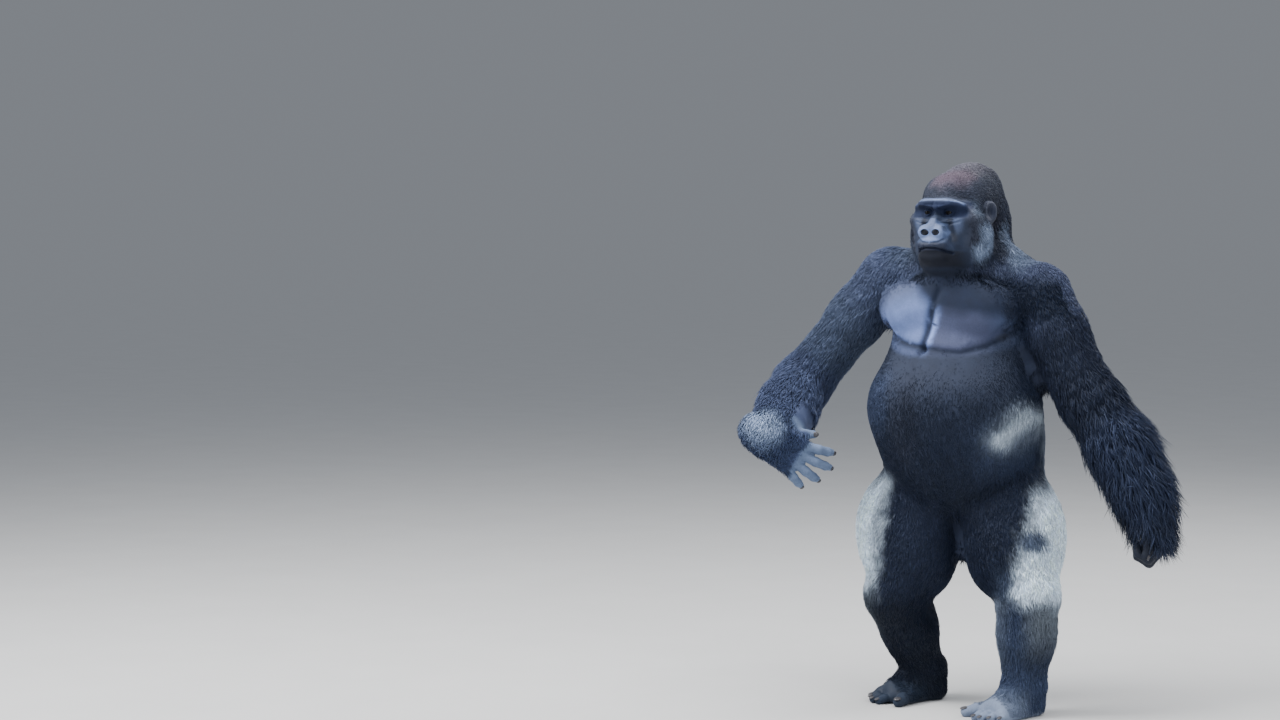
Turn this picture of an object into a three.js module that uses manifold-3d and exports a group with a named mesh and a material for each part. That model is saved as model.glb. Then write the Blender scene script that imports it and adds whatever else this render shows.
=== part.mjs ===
// A silverback western lowland gorilla, life size, standing on two legs in a slow walk with
// its arms held away from its sides. The solids are the animal's outline with its coat on.
//
// Millimetres, +Z up. The chest faces -Y and the animal's left is +X. The origin is on the
// floor, under the middle of the bounding box.
//
// The body is one smooth field: muscles and fat are round cones and ellipsoids that blend
// into each other, and hollows are carved from them. Each node is a stretch of that field,
// turned into a closed mesh on a grid of its own and parted from its neighbours by planes.
// Fingers and toes are tapered tubes, joined on where the palm and the sole end.
import * as THREE from "three";
import { mergeVertices } from "three/addons/utils/BufferGeometryUtils.js";
import Module from "manifold-3d";

const wasm = await Module();
wasm.setup();

const LEFT = 1;
const RIGHT = -1;
const SIDES = [LEFT, RIGHT];
const SIDE_NAME = { [LEFT]: "left", [RIGHT]: "right" };
const GAP = 0.5; // between two nodes that touch

const v = (x, y, z) => new THREE.Vector3(x, y, z);
const UP = v(0, 0, 1);
const radians = THREE.MathUtils.degToRad;
const clamp = THREE.MathUtils.clamp;
const between = (a, b, t) => a.clone().lerp(b, t);
const along = (from, to) => to.clone().sub(from).normalize();

// ---------------------------------------------------------------- skeleton
const EAR_AXIS = v(6, -65, 1499);
const HEAD_TURN = 3; // degrees from facing -Y, towards the left
const SHOULDER = { [LEFT]: v(250, -2, 1254), [RIGHT]: v(-250, -4, 1298) };
const ELBOW = { [LEFT]: v(412, 8, 932), [RIGHT]: v(-532, -46, 958) };
const WRIST = { [LEFT]: v(606, -24, 614), [RIGHT]: v(-487, -341, 811) };
const HIP = { [LEFT]: v(112, -2, 688), [RIGHT]: v(-112, 4, 682) };
const KNEE = { [LEFT]: v(262, -106, 360), [RIGHT]: v(-168, -112, 336) };
const ANKLE = { [LEFT]: v(240, -86, 82), [RIGHT]: v(-128, 7, 82) };
const TOES_OUT = { [LEFT]: -19, [RIGHT]: -32 }; // degrees from -Y, towards -X

/** A frame for a part of the body: its origin, its x axis and roughly its y axis. */
function frameOf(origin, x, y) {
  const z = x.clone().cross(y).normalize();
  const trueY = z.clone().cross(x).normalize();
  return new THREE.Matrix4()
    .makeBasis(x.clone().normalize(), trueY, z)
    .setPosition(origin);
}

// In the head's frame, x is out to the left, y is back and z is up from the ears.
const headFrame = new THREE.Matrix4()
  .makeRotationZ(radians(HEAD_TURN))
  .setPosition(EAR_AXIS);
const face = (out, forward, up) => v(out, -forward, up);

// In a foot's frame, x runs to the toes, y to the animal's left and z up from the sole.
const footFrame = {};
for (const side of SIDES) {
  const ahead = v(0, -1, 0).applyAxisAngle(UP, radians(TOES_OUT[side]));
  footFrame[side] = frameOf(ANKLE[side].clone().setZ(0), ahead, UP.clone().cross(ahead));
}

// In a hand's frame, x runs to the fingers, y to the thumb and z out of the right hand's
// back, which is out of the left hand's palm.
const HAND_AHEAD = { [LEFT]: v(0.4, 0, -0.92), [RIGHT]: v(0.77, 0.33, -0.54) };
const HAND_THUMB = { [LEFT]: v(0.3, -0.95, 0), [RIGHT]: v(0.45, 0.21, 0.86) };
const handFrame = {};
for (const side of SIDES) {
  handFrame[side] = frameOf(WRIST[side], HAND_AHEAD[side], HAND_THUMB[side]);
}

// ---------------------------------------------------------------- the field
/** Blends two distances into one surface, rounding the corner between them over k. */
function blend(a, b, k) {
  const h = Math.max(k - Math.abs(a - b), 0) / k;
  return Math.min(a, b) - (h * h * k) / 4;
}

/** Distance to a cone with round ends: a sphere of radius ra at a, rb at b. */
function cone(a, b, ra, rb) {
  const axis = b.clone().sub(a);
  const length = axis.length();
  axis.divideScalar(length);
  const slope = (ra - rb) / length;
  const rise = Math.sqrt(1 - slope * slope);
  const q = new THREE.Vector3();
  return (p) => {
    q.copy(p).sub(a);
    const run = q.dot(axis);
    const out = Math.sqrt(Math.max(q.lengthSq() - run * run, 0));
    const t = clamp(run + (out * slope) / rise, 0, length);
    return Math.hypot(run - t, out) - (ra + ((rb - ra) * t) / length);
  };
}

/** Distance to an ellipsoid, turned about x, y and z by degrees. */
function ellipsoid(centre, radii, turn = [0, 0, 0]) {
  const back = new THREE.Quaternion()
    .setFromEuler(new THREE.Euler(...turn.map(radians)))
    .invert();
  const q = new THREE.Vector3();
  return (p) => {
    q.copy(p).sub(centre).applyQuaternion(back);
    const [x, y, z] = [q.x / radii[0], q.y / radii[1], q.z / radii[2]];
    const steep = Math.hypot(x / radii[0], y / radii[1], z / radii[2]);
    const scaled = Math.hypot(x, y, z);
    return steep > 0 ? (scaled * (scaled - 1)) / steep : -Math.min(...radii);
  };
}

/** A distance given in a frame's own coordinates, for use in the body's. */
function inFrame(frame, distance) {
  const back = frame.clone().invert();
  const q = new THREE.Vector3();
  return (p) => distance(q.copy(p).applyMatrix4(back));
}

/** A field that shapes are blended into and carved from, in turn. */
function makeField() {
  const steps = [];
  const distance = (p) =>
    steps.reduce((d, step) => {
      const other = step.shape(p);
      return step.carves ? -blend(-d, other, step.k) : blend(d, other, step.k);
    }, 1e6);
  const add = (shape, k) => steps.push({ shape, k, carves: false });
  const carve = (shape, k) => steps.push({ shape, k, carves: true });
  return { distance, add, carve };
}

const body = makeField();

// ---------------------------------------------------------------- trunk
function growTrunk() {
  body.add(ellipsoid(v(0, -4, 1130), [214, 188, 230]), 1);
  body.add(ellipsoid(v(0, 18, 1255), [222, 150, 105]), 60);
  body.add(ellipsoid(v(0, -62, 905), [274, 228, 222]), 90);
  body.add(ellipsoid(v(0, -72, 765), [212, 172, 165]), 70);
  body.add(ellipsoid(v(0, 30, 705), [182, 140, 140]), 70);
  body.add(ellipsoid(v(0, 62, 900), [190, 116, 240]), 80);
  body.add(ellipsoid(v(8, 34, 1296), [192, 95, 146]), 40); // trapezius
  body.add(ellipsoid(v(4, 62, 1340), [118, 118, 125]), 50); // withers, up into the nape
  body.add(ellipsoid(v(150, 20, 790), [104, 90, 112]), 50); // flank over the standing leg
  for (const side of SIDES) {
    body.add(ellipsoid(v(side * 140, 55, 1120), [92, 95, 190], [0, side * 8, 0]), 60);
    body.add(ellipsoid(v(side * 125, 92, 1250), [115, 70, 120]), 50);
    body.add(ellipsoid(v(side * 98, 82, 655), [108, 95, 115]), 50);
    const shoulderTop = SHOULDER[side].clone().add(v(side * -30, 8, 10));
    body.add(cone(v(side * 90, 20, 1326), shoulderTop, 70, 74), 36);
    body.add(ellipsoid(v(side * 106, -132, 1208), [120, 66, 88], [0, 0, side * 10]), 22);
  }
}

// ---------------------------------------------------------------- limbs
/** How far a forearm's long hair stands out and bows away from the body. */
const FRINGE = { [LEFT]: 14, [RIGHT]: 0 };
const BOW = { [LEFT]: 22, [RIGHT]: 0 };

function growArm(side) {
  const upper = (t) => between(SHOULDER[side], ELBOW[side], t);
  const lower = (t) => between(ELBOW[side], WRIST[side], t);
  const fringe = FRINGE[side];
  const bowed = (t, share) => lower(t).add(v(side * BOW[side] * share, 0, 0));
  body.add(cone(upper(0.02), upper(0.36), 97, 88), 50);
  body.add(cone(upper(0.36), upper(1), 88, 88), 40);
  if (side === LEFT) {
    body.add(cone(upper(0.4).add(v(-26, 0, 0)), upper(1).add(v(-34, 0, 20)), 78, 80), 30);
  }
  body.add(cone(bowed(0, 0.5), bowed(0.4, 1), 92, 93 + fringe), 40);
  body.add(cone(bowed(0.4, 1), bowed(0.82, 0.6), 93 + fringe, 86 + fringe), 40);
  body.add(cone(bowed(0.82, 0.6), lower(1), 84 + fringe, 62 + fringe), 30);
}

const THIGH_BULGE = { [LEFT]: 46, [RIGHT]: 82 };

function growLeg(side) {
  const thigh = (t) => between(HIP[side], KNEE[side], t);
  const shank = (t) => between(KNEE[side], ANKLE[side], t);
  body.add(cone(thigh(0.1), thigh(0.62), 138, 128), 60);
  body.add(cone(thigh(0.62), thigh(1), 124, 96), 50);
  body.add(ellipsoid(thigh(0.45).add(v(side * THIGH_BULGE[side], 16, 0)), [116, 124, 170]), 50);
  body.add(ellipsoid(thigh(0.62).add(v(side * -62, 0, 0)), [86, 84, 136]), 60);
  body.add(cone(shank(0), shank(0.4), 92, 82), 40);
  body.add(ellipsoid(shank(0.42).add(v(0, 26, 0)), [76, 76, 110]), 40);
  body.add(cone(shank(0.4), shank(0.92), 80, 66), 40);
}

// ---------------------------------------------------------------- head
function growHead() {
  const add = (shape, k) => body.add(inFrame(headFrame, shape), k);
  const carve = (shape, k) => body.carve(inFrame(headFrame, shape), k);
  add(ellipsoid(face(0, -46, 5), [104, 164, 102]), 40); // skull
  add(ellipsoid(face(0, -112, 74), [88, 140, 80]), 36); // crest
  add(ellipsoid(face(0, 14, 58), [58, 80, 50]), 36); // forehead
  add(ellipsoid(face(0, -138, -46), [121, 106, 150]), 36); // nape
  add(ellipsoid(face(0, 95, -45), [84, 78, 72]), 40); // middle of the face
  add(ellipsoid(face(0, 140, -98), [64, 76, 44]), 24); // upper lip
  add(ellipsoid(face(0, 134, -140), [56, 64, 42]), 20); // lower lip and chin
  add(cone(face(0, 60, -140), face(0, 40, -240), 80, 105), 60); // throat
  add(cone(face(0, 150, -10), face(0, 184, -50), 17, 25), 20); // bridge of the nose
  add(cone(face(-34, 151, 15), face(34, 151, 15), 22, 22), 20); // brow ridge
  for (const side of SIDES) {
    add(cone(face(side * 34, 151, 15), face(side * 68, 122, 8), 22, 16), 16);
    add(ellipsoid(face(side * 25, 188, -62), [21, 23, 18]), 12); // wing of the nose
    add(ellipsoid(face(side * 72, 98, -26), [36, 42, 26]), 24); // cheekbone
    add(ellipsoid(face(side * 83, 36, -84), [46, 72, 84]), 34); // jaw muscle
    add(ellipsoid(face(side * 62, -22, 44), [44, 86, 60]), 36); // temple
    carve(ellipsoid(face(side * 38, 167, -6), [26, 27, 14]), 10); // eye socket
  }
}

growTrunk();
SIDES.forEach(growArm);
SIDES.forEach(growLeg);
growHead();

// ---------------------------------------------------------------- hands and feet
const hand = {};
const foot = {};

/** A palm: a fan of four bones from the wrist to the knuckles, and the thumb's ball. */
const KNUCKLE_ACROSS = [42, 14, -14, -41]; // index finger first
const KNUCKLE_ALONG = [98, 104, 99, 90];
const knuckle = (i) => v(KNUCKLE_ALONG[i], KNUCKLE_ACROSS[i], 0);

function growHand(side) {
  hand[side] = makeField();
  const add = (shape, k) => hand[side].add(inFrame(handFrame[side], shape), k);
  for (let i = 0; i < 4; i++) {
    add(cone(v(0, KNUCKLE_ACROSS[i] * 0.5, 0), knuckle(i), 40, 21), i ? 24 : 1);
  }
  const fringe = FRINGE[side];
  add(cone(v(-40, 0, 0), v(10 + fringe, 0, side * -fringe), 62 + fringe, 50 + fringe), 24);
  add(cone(v(22, 30, side * 12), v(62, 54, side * 20), 30, 21), 20);
}

function growFoot(side) {
  foot[side] = makeField();
  const add = (shape, k) => foot[side].add(inFrame(footFrame[side], shape), k);
  const out = (x, lateral, z) => v(x, side * lateral, z);
  add(cone(out(-26, 0, 34), out(0, 0, 42), 41, 48), 1); // heel
  add(cone(out(-10, 2, 90), out(100, 4, 38), 60, 36), 30); // instep
  add(cone(out(-20, 16, 26), out(128, 40, 18), 34, 24), 24); // outer edge
  add(cone(out(-20, -14, 30), out(120, -26, 22), 36, 28), 24); // inner edge
  add(cone(out(60, -30, 23), out(96, -52, 20), 30, 24), 20); // ball of the big toe
}

SIDES.forEach(growHand);
SIDES.forEach(growFoot);

// ---------------------------------------------------------------- from field to mesh
const QUAD = [
  [0, 0],
  [1, 0],
  [1, 1],
  [0, 1],
];

/**
 * A closed mesh of a field inside a box, by surface nets: one vertex in each cell that
 * the surface passes, and one quad round each edge that it crosses.
 * The frame places the box's middle; size is its lengths and step its cells' lengths.
 */
function meshOf(distance, frame, size, step) {
  const n = size.map((length, i) => Math.max(2, Math.round(length / step[i])));
  const corner = (i, j, k) => (i * (n[1] + 1) + j) * (n[2] + 1) + k;
  const place = (...ijk) =>
    v(...ijk.map((index, axis) => (index / n[axis] - 0.5) * size[axis])).applyMatrix4(frame);
  const values = [];
  eachIn([0, 0, 0], n, (i, j, k) => {
    const rim = i % n[0] === 0 || j % n[1] === 0 || k % n[2] === 0;
    const d = distance(place(i, j, k));
    values[corner(i, j, k)] = rim ? Math.max(d, 1) : d;
  });
  const positions = [];
  const vertexOf = new Map();
  const lastCell = n.map((count) => count - 1);
  eachIn([0, 0, 0], lastCell, (...cell) => {
    const crossings = [];
    for (let axis = 0; axis < 3; axis++) {
      for (const [da, db] of QUAD) {
        const from = [...cell];
        from[(axis + 1) % 3] += da;
        from[(axis + 2) % 3] += db;
        const to = [...from];
        to[axis] += 1;
        const d0 = values[corner(...from)];
        const d1 = values[corner(...to)];
        if (d0 < 0 === d1 < 0) continue;
        crossings.push(place(...from).lerp(place(...to), d0 / (d0 - d1)));
      }
    }
    if (!crossings.length) return;
    const middle = crossings.reduce((sum, p) => sum.add(p), v(0, 0, 0));
    settle(middle.divideScalar(crossings.length), distance, Math.min(...step) / 3);
    vertexOf.set(corner(...cell), positions.length / 3);
    positions.push(...middle);
  });
  const triangles = [];
  eachIn([0, 0, 0], lastCell, (...from) => {
    for (let axis = 0; axis < 3; axis++) {
      const a = (axis + 1) % 3;
      const b = (axis + 2) % 3;
      if (from[a] === 0 || from[b] === 0) continue;
      const to = [...from];
      to[axis] += 1;
      const inside = values[corner(...from)] < 0;
      if (inside === values[corner(...to)] < 0) continue;
      const ring = QUAD.map(([da, db]) => {
        const cell = [...from];
        cell[a] -= da;
        cell[b] -= db;
        return vertexOf.get(corner(...cell));
      });
      if (!inside) ring.reverse();
      triangles.push(ring[0], ring[1], ring[2], ring[0], ring[2], ring[3]);
    }
  });
  return solidOf(positions, triangles);
}

function eachIn(first, last, visit) {
  for (let i = first[0]; i <= last[0]; i++) {
    for (let j = first[1]; j <= last[1]; j++) {
      for (let k = first[2]; k <= last[2]; k++) visit(i, j, k);
    }
  }
}

/** A field that lies three gaps outside another, for cutting what meets it. */
const grown = (distance, room = 3 * GAP) => (p) => distance(p) - room;

/** Moves a point onto the surface, by no more than reach. */
function settle(p, distance, reach) {
  const d = distance(p);
  const rise = (step) => distance(p.clone().add(step)) - distance(p.clone().sub(step));
  const slope = v(rise(v(1, 0, 0)), rise(v(0, 1, 0)), rise(v(0, 0, 1))).divideScalar(2);
  const steep = slope.lengthSq();
  if (steep > 0.01) p.addScaledVector(slope, -clamp(d / steep, -reach, reach));
}

function solidOf(positions, triangles) {
  const geometry = new THREE.BufferGeometry();
  geometry.setAttribute("position", new THREE.Float32BufferAttribute(positions, 3));
  geometry.setIndex(triangles);
  return solidOfGeometry(geometry);
}

function solidOfGeometry(geometry) {
  geometry.deleteAttribute("normal");
  geometry.deleteAttribute("uv");
  const merged = mergeVertices(geometry, 1e-4);
  return new wasm.Manifold(
    new wasm.Mesh({
      numProp: 3,
      vertProperties: merged.attributes.position.array,
      triVerts: new Uint32Array(merged.index.array),
    }),
  );
}

// ---------------------------------------------------------------- where nodes part
/** A plane that keeps what lies past a point, in the direction it faces. */
function past(cut, shrink = GAP / 2) {
  const n = cut.facing.clone().normalize();
  return { n, offset: n.dot(cut.at) + shrink };
}
const short = (cut) => past({ at: cut.at, facing: cut.facing.clone().negate() });

const trimmed = (solid, planes) =>
  planes.reduce((s, { n, offset }) => s.trimByPlane([n.x, n.y, n.z], offset), solid);

/** The largest of a solid's separate bodies. */
const largest = (solid) =>
  solid.decompose().reduce((a, b) => (a.volume() > b.volume() ? a : b));

const FLOOR = past({ at: v(0, 0, 0), facing: UP }, 0);
const NECK_CUT = { at: v(5, -60, 1322), facing: v(0, -0.5, 1) };
const HEAD_CUT = { at: v(8, -60, 1378), facing: v(0, -0.42, 1) };
const WAIST_CUT = { at: v(0, 0, 1035), facing: UP };
const PELVIS_CUT = { at: v(0, 0, 760), facing: v(0, 0.25, 1) };
const faceCut = {
  at: face(0, 62, 0).applyMatrix4(headFrame),
  facing: face(0, 1, 0.1).transformDirection(headFrame),
};
const shoulderCut = (side) => ({ at: v(side * 238, 0, 1105), facing: v(side, 0, 0.3) });
const hipCut = (side) => ({ at: v(side * 70, 0, 590), facing: v(side, -0.15, -0.62) });
const midline = (side) => ({ at: v(0, 0, 690), facing: v(side, 0, side * 0.14) });
const elbowCut = (side) => ({
  at: ELBOW[side],
  facing: along(SHOULDER[side], ELBOW[side]).add(along(ELBOW[side], WRIST[side])),
});
const wristCut = (side) => ({
  at: WRIST[side],
  facing: along(ELBOW[side], WRIST[side]).add(HAND_AHEAD[side]),
});
const kneeCut = (side) => ({
  at: KNEE[side],
  facing: along(HIP[side], KNEE[side]).add(along(KNEE[side], ANKLE[side])),
});
const ankleCut = (side) => ({ at: ANKLE[side], facing: v(0, 0, -1) });

// ---------------------------------------------------------------- nodes
const gorilla = new THREE.Group();
const FUR = 0.85; // roughness
const SKIN = 0.5; // roughness
const FINISH = {
  crest: { color: 0x4a4248, roughness: FUR },
  face: { color: 0x2c303e, roughness: SKIN },
  ear: { color: 0x2a2b35, roughness: SKIN },
  eye: { color: 0x2a160c, roughness: 0.1 },
  neck: { color: 0x343845, roughness: FUR },
  chest: { color: 0x464c60, roughness: SKIN },
  belly: { color: 0x333848, roughness: FUR },
  upperArm: { color: 0x303543, roughness: FUR },
  forearm: { color: 0x1c202c, roughness: FUR },
  hand: { color: 0x262a36, roughness: SKIN },
  thigh: { color: 0x8a92a3, roughness: FUR },
  shank: { color: 0x4c5364, roughness: FUR },
  foot: { color: 0x383d4a, roughness: SKIN },
};

/** Adds a solid as a node, with a material of its own. */
function addNode(name, solid, finish) {
  const material = new THREE.MeshStandardMaterial({ ...finish, metalness: 0 });
  const { numProp, vertProperties, triVerts } = solid.getMesh();
  const geometry = new THREE.BufferGeometry();
  const position = new THREE.Float32BufferAttribute(vertProperties, numProp);
  geometry.setAttribute("position", position);
  geometry.setIndex([...triVerts]);
  geometry.computeVertexNormals();
  const mesh = new THREE.Mesh(geometry, material);
  mesh.name = name;
  gorilla.add(mesh);
}

/** A stretch of the body between planes, on an upright grid about a point. */
function stretch(centre, size, step, planes, distance = body.distance) {
  const frame = new THREE.Matrix4().setPosition(centre);
  return largest(trimmed(meshOf(distance, frame, size, step), planes));
}

/** A stretch of a limb between planes, on a grid that runs along its bone. */
function limb(from, to, width, step, planes, distance = body.distance) {
  const frame = frameOf(between(from, to, 0.5), along(from, to), v(0, 1, 0));
  const size = [from.distanceTo(to), width, width];
  return largest(trimmed(meshOf(distance, frame, size, step), planes));
}

// The head, which has its face and its eyes in nodes of their own.
const EYE_RADIUS = 11.5;
const EYE_ROOM = 0.4; // between an eye and its socket
const eyeCentre = (side) => face(side * 33, 142, -5).applyMatrix4(headFrame);

function ball(centre, radius) {
  const sphere = new THREE.SphereGeometry(radius, 10, 7);
  sphere.translate(centre.x, centre.y, centre.z);
  return solidOfGeometry(sphere);
}

function makeHead() {
  const back = v(9, -10, 1500);
  const [head, headRoom] = [body.distance, grown(body.distance, 5 * GAP)].map((distance) =>
    stretch(back, [310, 460, 460], [37.6, 37.2, 36.4], [past(HEAD_CUT), short(faceCut)], distance));
  addNode("head", head, FINISH.crest);
  const sockets = SIDES.map((side) => ball(eyeCentre(side), EYE_RADIUS + EYE_ROOM));
  const front = stretch(v(10, -190, 1460), [304, 300, 400], [17.5, 18, 17],
    [past(HEAD_CUT), past(faceCut)]);
  addNode("face", sockets.reduce((s, socket) => s.subtract(socket), front), FINISH.face);
  for (const side of SIDES) {
    addNode(`eye_${SIDE_NAME[side]}`, ball(eyeCentre(side), EYE_RADIUS), FINISH.eye);
    makeEar(side, headRoom);
  }
}

// An ear is a small upright disc with a bowl in it, its rear edge away from the head.
const EAR_RADII = [13, 25, 34];
const EAR_TURN = 28; // degrees

function makeEar(side, headRoom) {
  const outward = radians(HEAD_TURN - side * EAR_TURN);
  const centre = face(side * 113, 18, -4).applyMatrix4(headFrame);
  const frame = new THREE.Matrix4().makeRotationZ(outward).setPosition(centre);
  const ear = makeField();
  ear.add(inFrame(frame, ellipsoid(v(0, 0, 0), EAR_RADII)), 1);
  ear.carve(inFrame(frame, ellipsoid(v(side * 11, -1, 3), [12, 15, 23])), 5);
  const whole = meshOf(ear.distance, frame, [56, 72, 92], [10, 10, 11]);
  addNode(`ear_${SIDE_NAME[side]}`, largest(whole.subtract(headRoom)), FINISH.ear);
}

function makeTrunk() {
  const cell = [74, 62, 66];
  const armless = SIDES.map((side) => short(shoulderCut(side)));
  addNode("neck", stretch(v(8, -30, 1360), [500, 500, 380], [54, 50, 46],
    [short(HEAD_CUT), past(NECK_CUT), ...armless]), FINISH.neck);
  addNode("chest", stretch(v(0, 0, 1215), [740, 540, 600], cell,
    [short(NECK_CUT), past(WAIST_CUT), ...armless]), FINISH.chest);
  addNode("belly", stretch(v(0, -30, 880), [700, 620, 540], cell,
    [short(WAIST_CUT), past(PELVIS_CUT), ...armless]), FINISH.belly);
  addNode("pelvis", stretch(v(0, 0, 650), [700, 620, 580], cell,
    [short(PELVIS_CUT), ...SIDES.map((side) => short(hipCut(side)))]), FINISH.belly);
}

const forearmRoom = {};

function makeArm(side) {
  const cell = [70, 50, 50];
  const tag = SIDE_NAME[side];
  const [shoulder, elbow, wrist] = [SHOULDER[side], ELBOW[side], WRIST[side]];
  const inside = v(side * -150, 0, 170);
  addNode(`upper_arm_${tag}`, limb(shoulder.clone().add(inside), between(shoulder, elbow, 1.4),
    340, cell, [past(shoulderCut(side)), short(elbowCut(side)), short(HEAD_CUT)]),
    FINISH.upperArm);
  const [forearm, room] = [body.distance, grown(body.distance)].map((distance) =>
    limb(between(elbow, wrist, -0.4), between(elbow, wrist, 1.35), 340, cell,
      [past(elbowCut(side)), short(wristCut(side))], distance));
  addNode(`forearm_${tag}`, forearm, FINISH.forearm);
  forearmRoom[side] = room.add(forearm);
}

function makeLeg(side) {
  const cell = [68, 60, 60];
  const tag = SIDE_NAME[side];
  const [hip, knee, ankle] = [HIP[side], KNEE[side], ANKLE[side]];
  addNode(`thigh_${tag}`, limb(between(hip, knee, -0.5), between(hip, knee, 1.4), 520, cell,
    [past(hipCut(side)), short(kneeCut(side)), short(PELVIS_CUT), past(midline(side))]),
    FINISH.thigh);
  addNode(`shank_${tag}`, limb(between(knee, ankle, -0.5), between(knee, ankle, 1.3), 320, cell,
    [past(kneeCut(side)), short(ankleCut(side)), past(midline(side))]), FINISH.shank);
}

makeHead();
makeTrunk();
SIDES.forEach(makeArm);
SIDES.forEach(makeLeg);

// ---------------------------------------------------------------- fingers and toes
const DIGIT_SIDES = 6;

/** A closed tube along a bent path, with its own radius at each point and a round tip. */
function digit(points, radii) {
  const path = new THREE.CatmullRomCurve3(points, false, "centripetal");
  const rings = points.length + 1;
  const frames = path.computeFrenetFrames(rings - 1, false);
  const widths = new THREE.SplineCurve(radii.map((r, i) => new THREE.Vector2(i, r)));
  const positions = [...path.getPointAt(0)];
  for (let i = 0; i < rings; i++) {
    const t = i / (rings - 1);
    const centre = path.getPointAt(t);
    const tip = i === rings - 1 ? 0.62 : 1;
    const radius = widths.getPoint(t).y * tip;
    for (let j = 0; j < DIGIT_SIDES; j++) {
      const angle = (2 * Math.PI * j) / DIGIT_SIDES;
      const p = centre
        .clone()
        .addScaledVector(frames.normals[i], radius * Math.cos(angle))
        .addScaledVector(frames.binormals[i], radius * Math.sin(angle));
      positions.push(...p);
    }
  }
  const end = frames.tangents[rings - 1].clone().multiplyScalar(radii.at(-1) * 0.55);
  positions.push(...path.getPointAt(1).add(end));
  const triangles = [];
  const last = 1 + rings * DIGIT_SIDES;
  for (let j = 0; j < DIGIT_SIDES; j++) {
    const next = (j + 1) % DIGIT_SIDES;
    triangles.push(0, 1 + next, 1 + j);
    for (let i = 0; i < rings - 1; i++) {
      const a = 1 + i * DIGIT_SIDES;
      const b = a + DIGIT_SIDES;
      triangles.push(a + j, a + next, b + next, a + j, b + next, b + j);
    }
    const rim = last - DIGIT_SIDES;
    triangles.push(rim + j, rim + next, last);
  }
  return solidOf(positions, triangles);
}

/** Points along a digit that starts at a joint, splays to a side and bends at each joint. */
function bentChain(start, splay, lengths, bends) {
  const points = [start];
  let bend = 0;
  lengths.forEach((length, i) => {
    bend += radians(bends[i]);
    const run = v(Math.cos(radians(splay)), Math.sin(radians(splay)), 0);
    const step = run.multiplyScalar(Math.cos(bend) * length);
    step.z = Math.sin(bend) * length;
    points.push(points.at(-1).clone().add(step));
  });
  return points;
}

/** Adds a digit that grows out of a hand or foot, less what it shares with it. */
function addDigit(name, frame, points, radii, root, finish, planes = []) {
  const placed = points.map((p) => p.clone().applyMatrix4(frame));
  addNode(name, largest(trimmed(digit(placed, radii).subtract(root), planes)), finish);
}

const FINGERS = ["index", "middle", "ring", "little"];
const FINGER_LENGTHS = [
  [50, 34, 24],
  [56, 38, 25],
  [52, 35, 24],
  [42, 27, 21],
];
const FINGER_RADII = [
  [15, 14.5, 13.5, 11],
  [15, 14.5, 13.5, 11],
  [15, 14.5, 13.5, 11],
  [14, 13.5, 12.5, 10.5],
];
const FINGER_SPLAY = { [LEFT]: [3, 1, -1, -3], [RIGHT]: [16, 6, -8, -22] };
const FINGER_BENDS = { [LEFT]: [62, 80, 52], [RIGHT]: [12, 26, 22] };
const THUMB = {
  [LEFT]: { splay: 18, bends: [18, 20] },
  [RIGHT]: { splay: 34, bends: [4, 10] },
};

function makeHand(side) {
  const tag = SIDE_NAME[side];
  const frame = handFrame[side];
  const grid = frame.clone().multiply(new THREE.Matrix4().setPosition(25, 5, -5));
  const { distance } = hand[side];
  const [palm, palmRoom] = [distance, grown(distance)].map((d) =>
    largest(trimmed(meshOf(d, grid, [300, 190, 160], [27, 24, 24]), [past(wristCut(side))])));
  addNode(`hand_${tag}`, palm, FINISH.hand);
  const root = palmRoom.add(palm).add(forearmRoom[side]);
  FINGERS.forEach((name, i) => {
    const chain = bentChain(knuckle(i), FINGER_SPLAY[side][i], FINGER_LENGTHS[i],
      FINGER_BENDS[side].map((bend) => side * bend));
    addDigit(`${name}_finger_${tag}`, frame, chain, FINGER_RADII[i], root, FINISH.hand);
  });
  const { splay, bends } = THUMB[side];
  const chain = bentChain(v(58, 52, side * 18), splay, [34, 28], bends.map((b) => side * b));
  addDigit(`thumb_${tag}`, frame, chain, [18, 16, 12], root, FINISH.hand);
}

const TOES = [
  { name: "second", at: [132, -22], splay: -3, reach: 50 },
  { name: "third", at: [136, 2], splay: 0, reach: 48 },
  { name: "fourth", at: [130, 26], splay: 4, reach: 43 },
  { name: "fifth", at: [118, 49], splay: 9, reach: 38 },
];

function makeFoot(side) {
  const tag = SIDE_NAME[side];
  const frame = footFrame[side];
  const grid = frame.clone().multiply(new THREE.Matrix4().setPosition(30, 0, 60));
  const { distance } = foot[side];
  const [sole, soleRoom] = [distance, grown(distance)].map((d) =>
    largest(trimmed(meshOf(d, grid, [320, 220, 200], [29, 25, 25]),
      [FLOOR, past(ankleCut(side))])));
  addNode(`foot_${tag}`, sole, FINISH.foot);
  const root = soleRoom.add(sole);
  for (const { name, at, splay, reach } of TOES) {
    const start = v(at[0], side * at[1], 15.5);
    const chain = bentChain(start, side * splay, [reach / 2, reach / 2], [4, -22]);
    addDigit(`${name}_toe_${tag}`, frame, chain, [13.5, 12.5, 11], root, FINISH.foot, [FLOOR]);
  }
  const start = v(84, side * -48, 21);
  const chain = bentChain(start, side * -32, [44, 34], [-2, -8]);
  addDigit(`big_toe_${tag}`, frame, chain, [24, 20, 16], root, FINISH.foot, [FLOOR]);
}

SIDES.forEach(makeHand);
SIDES.forEach(makeFoot);

// ---------------------------------------------------------------- frame
const bounds = new THREE.Box3().setFromObject(gorilla);
const middle = bounds.getCenter(new THREE.Vector3());
gorilla.position.set(-middle.x, -middle.y, -bounds.min.z);

export default gorilla;
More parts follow.
